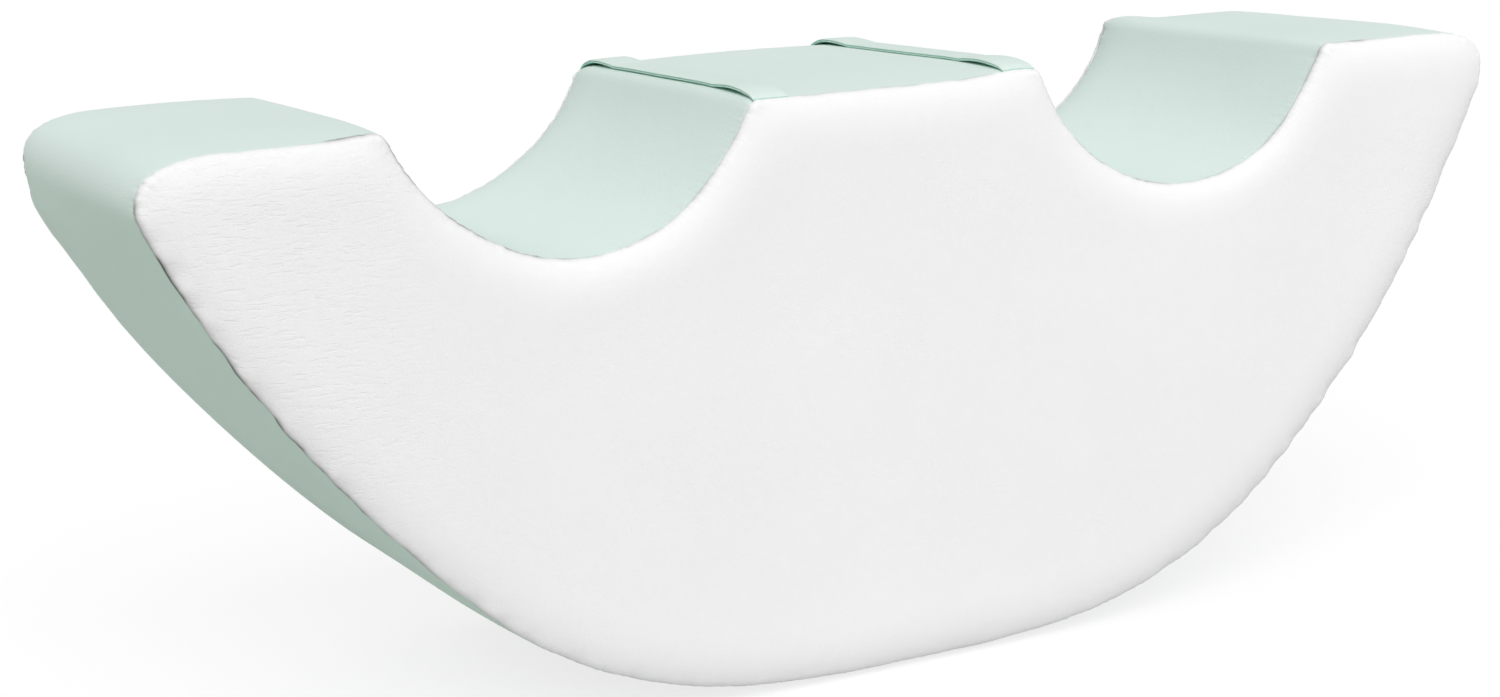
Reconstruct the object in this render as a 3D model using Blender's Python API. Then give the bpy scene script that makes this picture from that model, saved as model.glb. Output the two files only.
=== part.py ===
"""Foam rocker for two children, 1.2 m long: a block of foam in a sewn leatherette cover.

Metres, +Z up, +X along the rocker, the zipped side faces +Y. The origin is on the floor
under the middle of the block.
"""
import math

import bmesh
import bpy
from mathutils import Vector

# Profile of the block, over the rim's crown
LENGTH = 1.208
HEIGHT = 0.4694
REST_FLAT = 0.120
BASE_HALF_LENGTH = 0.1331
BASE_RADIUS = 1.626
SHOULDER_RADIUS = 0.402
FLANK_RADIUS = 0.9865
TIP_RADIUS = 0.0315
TIP_DROOP_RADIUS = 0.105
TIP_DROOP_ANGLE = math.radians(22.0)
SEAT_SPACING = 0.548
SEAT_RADIUS = 0.149
SEAT_DEPTH = 0.1032
CORNER_RADIUS = 0.0135

# Sewn cover
SEAM_WIDTH = 0.310
SIDE_CROWN = 0.013
SIDE_ROUNDING = 0.045
CROWN_POWER = 0.8
SEAM_DRAW = 0.0040
SEAM_ROLL = 0.018
SKIN = 0.0010
GAP = 0.0003

# Grab straps across the hump
STRAP_WIDTH = 0.030
STRAP_THICK = 0.0028
STRAP_END_THICK = 0.0018
STRAP_OVERHANG = 0.004
STRAP_LIFT = 0.0022
STRAP_LIFT_LENGTH = 0.066
STRAP_DROP_LENGTH = 0.010
STRAP_FOLD_DEPTH = 0.0009

# Zip across the back
ZIP_BELOW_SEAT = 0.0912
ZIP_END_MARGIN = 0.010
TAPE_WIDTH = 0.016
TAPE_THICK = 0.0006
TAPE_PAST_SLIT = 0.010
COIL_WIDTH = 0.0025
COIL_THICK = 0.0024
COIL_ROUNDING = 0.0011
HEM_WIDTH = 0.012
STOP_LENGTH = 0.004
STOP_WALL = 0.0006

# Zip slider and its pull
PLATE_THICK = 0.0012
SLIDER_LENGTH = 0.013
SLIDER_WALL = 0.0012
SLIDER_NOSE_LENGTH = 0.0036
SLIDER_NOSE_ROUNDING = 0.0024
SLIDER_TAIL_ROUNDING = 0.0010
FLANGE_SETBACK = 0.0018
NECK_WIDTH = 0.0012
NECK_LENGTH = 0.0035
BAIL_WIDTH = 0.0020
BAIL_BAR = 0.0012
BAIL_HALF_LENGTH = 0.0030
PULL_THICK = 0.0016
PULL_LENGTH = 0.030
PULL_WIDTH = 0.0075
PULL_ARM = 0.0014

# Smallest radius that an inset outline keeps at a corner
LEAST_RADIUS = 0.0015

# Facets of each stretch of the outline
BASE_STEPS = 3
SHOULDER_STEPS = 11
BASE_SEAM_STEP = 5
FLANK_STEPS = 16
TIP_STEPS = 6
DROOP_STEPS = 3
CORNER_STEPS = 4
SEAT_STEPS = 20
CROWN_STEPS_OUTSIDE = 6
CROWN_STEPS_INSIDE = 3
SEAM_ROLL_STEPS = 3
STRAP_DROP_STEPS = 3
STRAP_LIFT_STEPS = 8
STRAP_FOLD_STEPS = 3
SMALL_ROUND_STEPS = 3
PULL_ROUND_STEPS = 8

# Places that follow from the sizes above
SEAM_Y = SEAM_WIDTH / 2
FACE_Y = SEAM_Y + SIDE_CROWN
SEAT_X = SEAT_SPACING / 2
SEAT_FLOOR_Z = HEIGHT - SEAT_DEPTH
SEAT_CENTRE_Z = SEAT_FLOOR_Z + SEAT_RADIUS
CORE_INSET = SKIN + GAP
BASE_CUT = BASE_RADIUS - math.sqrt(BASE_RADIUS ** 2 - (REST_FLAT / 2) ** 2)

ZIP_HEIGHT = SEAT_FLOOR_Z - ZIP_BELOW_SEAT
TAPE_OUTER_Y = FACE_Y - 2 * SKIN - GAP
TAPE_INNER_Y = TAPE_OUTER_Y - TAPE_THICK
COIL_INNER_Y = TAPE_OUTER_Y + GAP
COIL_OUTER_Y = COIL_INNER_Y + COIL_THICK
BACK_PLATE_Y = TAPE_INNER_Y - GAP
FRONT_PLATE_Y = COIL_OUTER_Y + GAP
GROOVE_FLOOR_Y = BACK_PLATE_Y - PLATE_THICK - GAP
COIL_INNER_EDGE = NECK_WIDTH / 2 + GAP
COIL_OUTER_EDGE = COIL_INNER_EDGE + COIL_WIDTH
SLIDER_HALF_WIDTH = COIL_OUTER_EDGE + GAP + SLIDER_WALL
SLIT_HALF_WIDTH = SLIDER_HALF_WIDTH + 3 * GAP
CHANNEL_HALF_WIDTH = max(COIL_INNER_EDGE + TAPE_WIDTH, SLIT_HALF_WIDTH + HEM_WIDTH) + 2 * GAP
PULL_AXIS_Y = FRONT_PLATE_Y + PLATE_THICK + GAP + PULL_THICK / 2


def clear_scene():
    for old in list(bpy.data.objects):
        bpy.data.objects.remove(old, do_unlink=True)


def finish(name, red, green, blue, roughness, metallic=0.0):
    """A plain material from the part's colour in the photograph."""
    material = bpy.data.materials.new(name)
    material.use_nodes = True
    shader = material.node_tree.nodes["Principled BSDF"]
    shader.inputs["Base Color"].default_value = (red, green, blue, 1.0)
    shader.inputs["Roughness"].default_value = roughness
    shader.inputs["Metallic"].default_value = metallic
    return material


def make_object(name, bm, material, smooth_angle=40.0):
    """Turns a bmesh into a named object with its faces pointing out."""
    bmesh.ops.recalc_face_normals(bm, faces=bm.faces)
    mesh = bpy.data.meshes.new(name)
    bm.to_mesh(mesh)
    bm.free()
    mesh.shade_smooth()
    mesh.set_sharp_from_angle(angle=math.radians(smooth_angle))
    mesh.materials.append(material)
    result = bpy.data.objects.new(name, mesh)
    bpy.context.collection.objects.link(result)
    return result


def arc(centre, radius, start, end, steps):
    """Points of an arc in the XZ plane after its first one, angles from +X towards +Z."""
    points = []
    for step in range(1, steps + 1):
        angle = start + (end - start) * step / steps
        points.append((centre[0] + radius * math.cos(angle), centre[1] + radius * math.sin(angle)))
    return points


def profile_centres():
    """Centres of the base, shoulder and flank arcs, each tangent to the next and the flank to the tip."""
    base = Vector((0.0, BASE_RADIUS - BASE_CUT))
    base_end = math.asin(BASE_HALF_LENGTH / BASE_RADIUS)
    from_base = BASE_RADIUS - SHOULDER_RADIUS
    shoulder = base + Vector((math.sin(base_end), -math.cos(base_end))) * from_base
    droop = math.pi / 2 - TIP_DROOP_ANGLE
    tip_z = HEIGHT - TIP_DROOP_RADIUS + (TIP_DROOP_RADIUS - TIP_RADIUS) * math.sin(droop)
    tip = Vector((LENGTH / 2 - TIP_RADIUS, tip_z))
    from_shoulder = FLANK_RADIUS - SHOULDER_RADIUS
    from_tip = FLANK_RADIUS - TIP_RADIUS
    between = tip - shoulder
    span = between.length
    along = (from_shoulder ** 2 - from_tip ** 2 + span ** 2) / (2 * span)
    aside = math.sqrt(from_shoulder ** 2 - along ** 2)
    unit = between / span
    flank = shoulder + unit * along + Vector((-unit.y, unit.x)) * aside
    return base, shoulder, flank


BASE_CENTRE, SHOULDER_CENTRE, FLANK_CENTRE = profile_centres()


def seat_corner(inset):
    """Half distance between a seat's corner arcs, their centre height and their radius."""
    radius = max(CORNER_RADIUS - inset, LEAST_RADIUS)
    height = HEIGHT - inset - radius
    drop = SEAT_CENTRE_Z - height
    reach = math.sqrt((SEAT_RADIUS + inset + radius) ** 2 - drop ** 2)
    return reach, height, radius


HUMP_HALF_LENGTH = SEAT_X - seat_corner(0.0)[0]
STRAP_X = HUMP_HALF_LENGTH + STRAP_OVERHANG - STRAP_WIDTH / 2


def half_outline(inset):
    """Right half of the profile, moved inwards by inset, from under the middle to the hump's top."""
    base_flat = math.sqrt((BASE_RADIUS - inset) ** 2 - (BASE_CENTRE.y - inset) ** 2)
    points = [(0.0, inset), (base_flat, inset)]

    start = math.atan2(inset - BASE_CENTRE.y, base_flat)
    turn = SHOULDER_CENTRE - BASE_CENTRE
    to_shoulder = math.atan2(turn.y, turn.x)
    points += arc(BASE_CENTRE, BASE_RADIUS - inset, start, to_shoulder, BASE_STEPS)
    turn = SHOULDER_CENTRE - FLANK_CENTRE
    to_flank = math.atan2(turn.y, turn.x)
    points += arc(SHOULDER_CENTRE, SHOULDER_RADIUS - inset, to_shoulder, to_flank, SHOULDER_STEPS)

    tip = max(TIP_RADIUS - inset, LEAST_RADIUS)
    droop = max(TIP_DROOP_RADIUS - inset, LEAST_RADIUS)
    droop_start = math.pi / 2 - TIP_DROOP_ANGLE
    tip_z = HEIGHT - inset - droop - (tip - droop) * math.sin(droop_start)
    reach = FLANK_RADIUS - inset - tip
    lean = math.asin((tip_z - FLANK_CENTRE.y) / reach)
    tip_centre = FLANK_CENTRE + Vector((math.cos(lean), math.sin(lean))) * reach
    points += arc(FLANK_CENTRE, FLANK_RADIUS - inset, to_flank, lean, FLANK_STEPS)
    points += arc(tip_centre, tip, lean, droop_start, TIP_STEPS)
    along_droop = Vector((math.cos(droop_start), math.sin(droop_start)))
    droop_centre = tip_centre + along_droop * (tip - droop)
    points += arc(droop_centre, droop, droop_start, math.pi / 2, DROOP_STEPS)

    reach, height, radius = seat_corner(inset)
    outer = (SEAT_X + reach, height)
    inner = (SEAT_X - reach, height)
    to_seat = math.atan2(SEAT_CENTRE_Z - height, -reach)
    points.append((outer[0], height + radius))
    points += arc(outer, radius, math.pi / 2, to_seat, CORNER_STEPS)
    seat = (SEAT_X, SEAT_CENTRE_Z)
    seat_start = to_seat - math.pi
    points += arc(seat, SEAT_RADIUS + inset, seat_start, -math.pi - seat_start, SEAT_STEPS)
    points += arc(inner, radius, math.pi - to_seat, math.pi / 2, CORNER_STEPS)
    hump_share = (SEAT_X - reach) / HUMP_HALF_LENGTH
    points.append((STRAP_X * hump_share, HEIGHT - inset))
    points.append((0.0, HEIGHT - inset))
    return points


def outline(inset):
    """The whole closed profile, counter-clockwise as seen from the front."""
    right = half_outline(inset)
    left = [(-x, z) for x, z in reversed(right[1:-1])]
    return right + left


def flat_half_length(z):
    """Half length of the back's flat middle at a height that the flank arc passes."""
    radius = FLANK_RADIUS - SEAM_DRAW - SIDE_ROUNDING
    return FLANK_CENTRE.x + math.sqrt(radius ** 2 - (z - FLANK_CENTRE.y) ** 2)


TAPE_HALF_LENGTH = flat_half_length(ZIP_HEIGHT - CHANNEL_HALF_WIDTH) - ZIP_END_MARGIN
SLIT_HALF_LENGTH = TAPE_HALF_LENGTH - TAPE_PAST_SLIT
COIL_HALF_LENGTH = SLIT_HALF_LENGTH - STOP_LENGTH - 2 * GAP
SLIDER_REST_X = -COIL_HALF_LENGTH + SLIDER_LENGTH / 2 + GAP


def ring(inset, y):
    """The profile as a ring of points at depth y."""
    return [Vector((x, y, z)) for x, z in outline(inset)]


def loft(rings):
    """A closed solid through rings of points with a face over each end ring."""
    bm = bmesh.new()
    rows = []
    for points in rings:
        rows.append([bm.verts.new(point) for point in points])
    count = len(rings[0])
    for row, following in zip(rows, rows[1:]):
        for index in range(count):
            after = (index + 1) % count
            bm.faces.new((row[index], row[after], following[after], following[index]))
    bmesh.ops.triangulate(bm, faces=bm.faces)
    bm.faces.new(rows[0])
    bm.faces.new(rows[-1])
    return bm


def block(name, low, high):
    """A rectangular solid between two corners."""
    bm = bmesh.new()
    bmesh.ops.create_cube(bm, size=1.0)
    for vert in bm.verts:
        for axis in range(3):
            vert.co[axis] = high[axis] if vert.co[axis] > 0 else low[axis]
    return make_object(name, bm, GUIDE)


def helper(guide):
    """Marks an object that only shapes others."""
    guide.hide_render = True
    guide.display_type = "WIRE"
    return guide


def combine(target, other, operation):
    modifier = target.modifiers.new(other.name, "BOOLEAN")
    modifier.operation = operation
    modifier.object = other
    modifier.solver = "EXACT"


def crown_section(offset, steps):
    """Rounded edge of a side, as (inset, outward) pairs from the seam to the flat middle."""
    pairs = []
    for step in range(steps + 1):
        angle = math.pi / 2 * step / steps
        across = 1 - math.cos(angle) ** CROWN_POWER if step < steps else 1.0
        inset = SEAM_DRAW + offset + (SIDE_ROUNDING - offset) * across
        outward = (SIDE_CROWN - offset) * math.sin(angle) ** CROWN_POWER
        pairs.append((inset, outward))
    return pairs


def side_panel_mesh(side):
    """A crowned leatherette side, sewn edge to flat middle; side is -1 for the front, 1 for the back."""
    edge = SEAM_Y + GAP / 2
    rings = []
    for inset, outward in reversed(crown_section(0.0, CROWN_STEPS_OUTSIDE)):
        rings.append(ring(inset, side * max(edge, SEAM_Y + outward)))
    for inset, outward in crown_section(SKIN, CROWN_STEPS_INSIDE):
        rings.append(ring(inset, side * max(edge, SEAM_Y + outward)))
    return loft(rings)


def front_side():
    return make_object("side_panel_front", side_panel_mesh(-1), WHITE_LEATHERETTE)


def back_side(name, up):
    """Upper (up = 1) or lower (up = -1) half of the back, with a folded hem along the zip."""
    panel = make_object(name, side_panel_mesh(1), WHITE_LEATHERETTE)
    hem_z = sorted((ZIP_HEIGHT + up * (SLIT_HALF_WIDTH - GAP), ZIP_HEIGHT + up * (SLIT_HALF_WIDTH + HEM_WIDTH)))
    hem = block(
        name + "_hem_guide",
        (-TAPE_HALF_LENGTH, FACE_Y - 2 * SKIN, hem_z[0]),
        (TAPE_HALF_LENGTH, FACE_Y - SKIN / 2, hem_z[1]),
    )
    combine(panel, helper(hem), "UNION")
    far_z = sorted((ZIP_HEIGHT + up * GAP / 2, ZIP_HEIGHT - up * 2 * HEIGHT))
    other_half = block(
        name + "_half_guide",
        (-LENGTH, 0.0, far_z[0]),
        (LENGTH, 2 * SEAM_WIDTH, far_z[1]),
    )
    combine(panel, helper(other_half), "DIFFERENCE")
    slit = block(
        name + "_slit_guide",
        (-SLIT_HALF_LENGTH, SEAM_Y, ZIP_HEIGHT - SLIT_HALF_WIDTH),
        (SLIT_HALF_LENGTH, 2 * SEAM_WIDTH, ZIP_HEIGHT + SLIT_HALF_WIDTH),
    )
    combine(panel, helper(slit), "DIFFERENCE")
    return panel


def seam_draw(from_seam, reach=SEAM_ROLL):
    """How far a sewn edge is drawn in at a distance from its seam."""
    return SEAM_DRAW * max(0.0, 1 - from_seam / reach) ** 2


def rim_section():
    """Cross-section of the rim strip as (inset, y) pairs, drawn in where it is sewn."""
    edge = SEAM_Y - GAP / 2
    outside = []
    for step in range(SEAM_ROLL_STEPS + 1):
        from_seam = SEAM_ROLL * step / SEAM_ROLL_STEPS
        outside.append((seam_draw(from_seam), from_seam - edge))
    outside += [(inset, -y) for inset, y in reversed(outside)]
    corners = (outside[-1], outside[SEAM_ROLL_STEPS + 1], outside[SEAM_ROLL_STEPS], outside[0])
    inside = [(inset + SKIN, y) for inset, y in corners]
    return outside + inside


def rim_strip(name, first, last):
    """A stretch of the rim between two stations of the outline, short of each seam by half the gap."""
    section = rim_section()
    profiles = [outline(inset) for inset, y in section]
    count = len(profiles[0])
    rings = []
    for station in range(first, last + 1):
        points = []
        for (inset, y), profile in zip(section, profiles):
            place = Vector(profile[station % count])
            if station == first:
                place += (Vector(profile[(station + 1) % count]) - place).normalized() * GAP / 2
            if station == last:
                place += (Vector(profile[(station - 1) % count]) - place).normalized() * GAP / 2
            points.append(Vector((place.x, y, place.y)))
        rings.append(points)
    return make_object(name, loft(rings), MINT_LEATHERETTE)


def rim_panels():
    """Rim in four lengths: they meet under the straps and low on the shoulders."""
    base_seam = 1 + BASE_STEPS + BASE_SEAM_STEP
    hump_seam = len(half_outline(0.0)) - 2
    whole = len(outline(0.0))
    rim_strip("rim_base_panel", -base_seam, base_seam)
    rim_strip("rim_right_panel", base_seam, hump_seam)
    rim_strip("rim_hump_panel", hump_seam, whole - hump_seam)
    rim_strip("rim_left_panel", whole - hump_seam, whole - base_seam)


def foam_core():
    """The block of foam, with a shallow channel behind the zip."""
    half = [(CORE_INSET, SEAM_Y - SEAM_ROLL)]
    for inset, outward in crown_section(CORE_INSET, CROWN_STEPS_INSIDE):
        half.append((inset, SEAM_Y + outward))
    rings = [ring(inset, -y) for inset, y in reversed(half)]
    rings += [ring(inset, y) for inset, y in half]
    core = make_object("foam_core", loft(rings), FOAM)
    reach = TAPE_HALF_LENGTH + 2 * GAP
    channel = block(
        "zip_channel_guide",
        (-reach, GROOVE_FLOOR_Y, ZIP_HEIGHT - CHANNEL_HALF_WIDTH),
        (reach, 2 * SEAM_WIDTH, ZIP_HEIGHT + CHANNEL_HALF_WIDTH),
    )
    combine(core, helper(channel), "DIFFERENCE")
    return core


def strap_lift(from_end):
    """How far the strap stands off the hump: nothing in its middle and at its sewn ends."""
    if from_end > STRAP_LIFT_LENGTH:
        return 0.0
    return STRAP_LIFT * math.sin(math.pi * from_end / STRAP_LIFT_LENGTH)


def strap_section(thick):
    """Folded strap from its end: two layers with round edges, and a groove where they meet."""
    groove = STRAP_WIDTH / 2 - STRAP_FOLD_DEPTH
    upper = []
    for step in range(STRAP_FOLD_STEPS + 1):
        angle = math.pi * (step / STRAP_FOLD_STEPS - 0.5)
        upper.append((groove + STRAP_FOLD_DEPTH * math.cos(angle), thick / 4 * (1 + math.sin(angle))))
    upper += [(-x, z) for x, z in reversed(upper)]
    lower = [(x, -z) for x, z in reversed(upper[1:-1])]
    return upper + lower


def strap(name, x):
    """A grab strap across the hump, its ends sewn into the side seams."""
    end_y = SEAM_Y - GAP / 2
    from_ends = []
    for step in range(STRAP_DROP_STEPS):
        from_ends.append(STRAP_DROP_LENGTH * step / STRAP_DROP_STEPS)
    for step in range(STRAP_LIFT_STEPS + 1):
        lifted = STRAP_LIFT_LENGTH - STRAP_DROP_LENGTH
        from_ends.append(STRAP_DROP_LENGTH + lifted * step / STRAP_LIFT_STEPS)
    front_half = [from_end - end_y for from_end in from_ends]
    places = front_half + [0.0] + [-y for y in reversed(front_half)]
    rings = []
    for y in places:
        from_end = end_y - abs(y)
        grow = min(1.0, from_end / SEAM_ROLL)
        thick = STRAP_END_THICK + (STRAP_THICK - STRAP_END_THICK) * grow
        z = HEIGHT - seam_draw(from_end, STRAP_DROP_LENGTH) + GAP + strap_lift(from_end) + thick / 2
        rings.append([Vector((x + dx, y, z + dz)) for dx, dz in strap_section(thick)])
    return make_object(name, loft(rings), MINT_LEATHERETTE)


def zip_tape(name, up):
    """Woven tape on one side of the zip, behind the folded hem."""
    near_z = ZIP_HEIGHT + up * COIL_INNER_EDGE
    far_z = ZIP_HEIGHT + up * (COIL_INNER_EDGE + TAPE_WIDTH)
    low_z, high_z = sorted((near_z, far_z))
    reach = TAPE_HALF_LENGTH
    tape = block(name, (-reach, TAPE_INNER_Y, low_z), (reach, TAPE_OUTER_Y, high_z))
    tape.data.materials[0] = ZIP_NYLON
    return tape


def zip_coil(name, up):
    """Half of the closed coil: a rounded bead along the edge of its tape."""
    near = COIL_INNER_EDGE
    far = COIL_OUTER_EDGE
    bead_centre = (far - COIL_ROUNDING, COIL_OUTER_Y - COIL_ROUNDING)
    outline_zy = [(near, COIL_INNER_Y), (far, COIL_INNER_Y), (far, bead_centre[1])]
    outline_zy += arc(bead_centre, COIL_ROUNDING, 0.0, math.pi / 2, SMALL_ROUND_STEPS)
    outline_zy.append((near, COIL_OUTER_Y))
    rings = []
    for x in (-COIL_HALF_LENGTH, COIL_HALF_LENGTH):
        rings.append([Vector((x, y, ZIP_HEIGHT + up * z)) for z, y in outline_zy])
    return make_object(name, loft(rings), ZIP_NYLON)


def stop_block(name, x, low_z, high_z):
    """A crimped stop past the end of the coil, on the tape."""
    low = (x - STOP_LENGTH / 2, COIL_INNER_Y, low_z)
    high = (x + STOP_LENGTH / 2, COIL_OUTER_Y + STOP_WALL, high_z)
    stop = block(name, low, high)
    stop.data.materials[0] = NICKEL
    soften = stop.modifiers.new("rounded_edges", "BEVEL")
    soften.width = STOP_WALL
    soften.segments = 2
    soften.limit_method = "ANGLE"
    return stop


def zip_stops():
    """One wide stop where the zip starts and one on each tape where the slider rests."""
    place = COIL_HALF_LENGTH + GAP + STOP_LENGTH / 2
    wide = COIL_OUTER_EDGE
    stop_block("zip_bottom_stop", place, ZIP_HEIGHT - wide, ZIP_HEIGHT + wide)
    near = COIL_INNER_EDGE
    stop_block("zip_top_stop_upper", -place, ZIP_HEIGHT + near, ZIP_HEIGHT + wide)
    stop_block("zip_top_stop_lower", -place, ZIP_HEIGHT - wide, ZIP_HEIGHT - near)


def slider_plate_outline():
    """Shield outline of a slider plate, wide at the mouths and narrow where the coils leave."""
    front = SLIDER_LENGTH / 2
    wide = SLIDER_HALF_WIDTH
    narrow = wide - SLIDER_WALL / 2
    nose = (front - SLIDER_NOSE_ROUNDING, wide - SLIDER_NOSE_ROUNDING)
    tail = (-front + SLIDER_TAIL_ROUNDING, narrow - SLIDER_TAIL_ROUNDING)
    half = [(front, nose[1])]
    half += arc(nose, SLIDER_NOSE_ROUNDING, 0.0, math.pi / 2, SMALL_ROUND_STEPS)
    half += [(front - SLIDER_NOSE_LENGTH, wide), (0.0, narrow), (tail[0], narrow)]
    half += arc(tail, SLIDER_TAIL_ROUNDING, math.pi / 2, math.pi, SMALL_ROUND_STEPS)
    return half + [(x, -z) for x, z in reversed(half)]


def extruded(name, outline_xz, low_y, high_y):
    """A plate of the given outline between two depths, placed around the slider's middle."""
    rings = []
    for y in (low_y, high_y):
        rings.append([Vector((SLIDER_REST_X + x, y, ZIP_HEIGHT + z)) for x, z in outline_xz])
    return make_object(name, loft(rings), NICKEL)


def zip_slider():
    """Slider: two plates on a neck, edge flanges over the coils and a bail for the pull."""
    front_top = FRONT_PLATE_Y + PLATE_THICK
    slider = extruded("zip_slider", slider_plate_outline(), FRONT_PLATE_Y, front_top)
    back = extruded("slider_back_guide", slider_plate_outline(), BACK_PLATE_Y - PLATE_THICK, BACK_PLATE_Y)
    combine(slider, helper(back), "UNION")
    lap = PLATE_THICK / 2
    front = SLIDER_REST_X + SLIDER_LENGTH / 2
    neck = block(
        "slider_neck_guide",
        (front - NECK_LENGTH, BACK_PLATE_Y - lap, ZIP_HEIGHT - NECK_WIDTH / 2),
        (front - SLIDER_WALL / 2, FRONT_PLATE_Y + lap, ZIP_HEIGHT + NECK_WIDTH / 2),
    )
    combine(slider, helper(neck), "UNION")
    for side, label in ((1, "upper"), (-1, "lower")):
        inner = ZIP_HEIGHT + side * (COIL_OUTER_EDGE + GAP)
        outer = ZIP_HEIGHT + side * (SLIDER_HALF_WIDTH - SLIDER_WALL / 2)
        low_z, high_z = sorted((inner, outer))
        flange = block(
            "slider_flange_guide_" + label,
            (SLIDER_REST_X - SLIDER_LENGTH / 2 + FLANGE_SETBACK, TAPE_OUTER_Y + GAP, low_z),
            (SLIDER_REST_X + SLIDER_LENGTH / 2 - FLANGE_SETBACK, FRONT_PLATE_Y + lap, high_z),
        )
        combine(slider, helper(flange), "UNION")
    bail_top = PULL_AXIS_Y + PULL_THICK / 2 + GAP + BAIL_BAR
    bail_reach = BAIL_HALF_LENGTH + BAIL_BAR
    bail_xy = [
        (-bail_reach, front_top - lap),
        (-bail_reach, bail_top - BAIL_BAR),
        (-BAIL_HALF_LENGTH, bail_top),
        (BAIL_HALF_LENGTH, bail_top),
        (bail_reach, bail_top - BAIL_BAR),
        (bail_reach, front_top - lap),
        (BAIL_HALF_LENGTH, front_top - lap),
        (BAIL_HALF_LENGTH, bail_top - BAIL_BAR),
        (-BAIL_HALF_LENGTH, bail_top - BAIL_BAR),
        (-BAIL_HALF_LENGTH, front_top - lap),
    ]
    rings = []
    for z in (ZIP_HEIGHT - BAIL_WIDTH / 2, ZIP_HEIGHT + BAIL_WIDTH / 2):
        rings.append([Vector((SLIDER_REST_X + x, y, z)) for x, y in bail_xy])
    bail = make_object("slider_bail_guide", loft(rings), NICKEL)
    combine(slider, helper(bail), "UNION")
    return slider


def zip_pull():
    """Pull tab that swings on the bail, lying along the closed zip."""
    arm_inner = BAIL_WIDTH / 2 + GAP
    arm_outer = arm_inner + PULL_ARM
    pin = PULL_THICK / 2
    window = BAIL_HALF_LENGTH + BAIL_BAR + PULL_THICK + 2 * GAP
    half = PULL_WIDTH / 2
    tab_end = PULL_LENGTH - half
    tab = [(-pin, -arm_outer), (window, -arm_outer), (window + PULL_ARM, -half), (tab_end, -half)]
    tab += arc((tab_end, 0.0), half, -math.pi / 2, math.pi / 2, PULL_ROUND_STEPS)
    tab += [(window + PULL_ARM, half), (window, arm_outer), (-pin, arm_outer)]
    low_y = PULL_AXIS_Y - PULL_THICK / 2
    high_y = PULL_AXIS_Y + PULL_THICK / 2
    pull = extruded("zip_pull", tab, low_y, high_y)
    eye = block(
        "pull_eye_guide",
        (SLIDER_REST_X + pin, low_y - PULL_THICK, ZIP_HEIGHT - arm_inner),
        (SLIDER_REST_X + window, high_y + PULL_THICK, ZIP_HEIGHT + arm_inner),
    )
    combine(pull, helper(eye), "DIFFERENCE")
    return pull


clear_scene()
GUIDE = finish("guide", 0.5, 0.5, 0.5, 0.8)
WHITE_LEATHERETTE = finish("white_leatherette", 0.86, 0.86, 0.86, 0.48)
MINT_LEATHERETTE = finish("mint_leatherette", 0.62, 0.80, 0.73, 0.48)
FOAM = finish("foam", 0.86, 0.82, 0.68, 0.95)
ZIP_NYLON = finish("zip_nylon", 0.80, 0.80, 0.79, 0.6)
NICKEL = finish("nickel", 0.72, 0.72, 0.70, 0.3, 1.0)

foam_core()
front_side()
back_side("side_panel_back_upper", 1)
back_side("side_panel_back_lower", -1)
rim_panels()
strap("strap_left", -STRAP_X)
strap("strap_right", STRAP_X)
zip_tape("zip_tape_upper", 1)
zip_tape("zip_tape_lower", -1)
zip_coil("zip_coil_upper", 1)
zip_coil("zip_coil_lower", -1)
zip_stops()
zip_slider()
zip_pull()
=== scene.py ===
"""Looks of the foam rocker: a sewn leatherette cover over a foam block, with grab straps and a back zip."""

import math
import random

import bmesh
import bpy
import numpy as np
from mathutils import Matrix, Vector, geometry, noise


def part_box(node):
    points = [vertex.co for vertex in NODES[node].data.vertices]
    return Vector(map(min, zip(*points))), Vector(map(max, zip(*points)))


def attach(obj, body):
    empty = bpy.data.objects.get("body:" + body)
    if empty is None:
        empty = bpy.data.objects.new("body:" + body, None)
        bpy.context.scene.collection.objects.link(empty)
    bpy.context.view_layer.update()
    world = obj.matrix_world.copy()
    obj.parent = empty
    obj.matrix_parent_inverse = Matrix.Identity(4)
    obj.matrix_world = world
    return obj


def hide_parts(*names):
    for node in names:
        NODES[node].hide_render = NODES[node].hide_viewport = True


# Camera, in metres and degrees, as the photograph was taken
CAMERA_PLACE = (-1.0647, -1.9122, 0.6893)
CAMERA_YAW = 27.81
CAMERA_PITCH = -11.73
CAMERA_ROLL = -2.26
CAMERA_LENS = 63.94
CAMERA_SENSOR = 36.0
CAMERA_SEES = (0.01, 200.0)

# Light, in metres, degrees, watts and shares
SKY_LEVEL = 0.64
SHOWN_WHITE = 1.0
KEY_FROM = (-0.27, -0.65, 0.71)
KEY_DISTANCE = 5.0
KEY_SPREAD = 45.0
KEY_STRENGTH = 1.84
GLOOM_FROM = (-1.0, 0.0, 0.0)
GLOOM_REACH = 0.35
GLOOM_SHARE = 0.70
GLOOM_ON_FLOOR = 0.193
FILL_PLACE = (1.0, -2.4, 0.8)
FILL_AIM = (0.3, 0.0, 0.25)
FILL_SIZE = 1.2
FILL_WATTS = 5.0
FLOOR_SIZE = 80.0
FLOOR_SHADOW_SHARE = 0.35
FLOOR_PAINT = 0.68

# Colours of the leatherette, with painted light and shade: a paler lit colour where it faces up, a darker
# shaded colour where it faces down, and painted shade in its seams; between the two heights of its upright
# direction, the first goes over into the second
WHITE_COLOURS = ((0.855, 0.855, 0.855), (0.785, 0.785, 0.785), (0.16, 0.15, 0.14))
MINT_COLOURS = ((0.690, 0.797, 0.757), (0.626, 0.778, 0.687), (0.10, 0.12, 0.10))
STRAP_COLOURS = ((0.682, 0.795, 0.752), (0.360, 0.720, 0.560), (0.08, 0.14, 0.11))
PAINTED_SHADE_FROM = 0.35
PAINTED_SHADE_TO = -0.30

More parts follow.
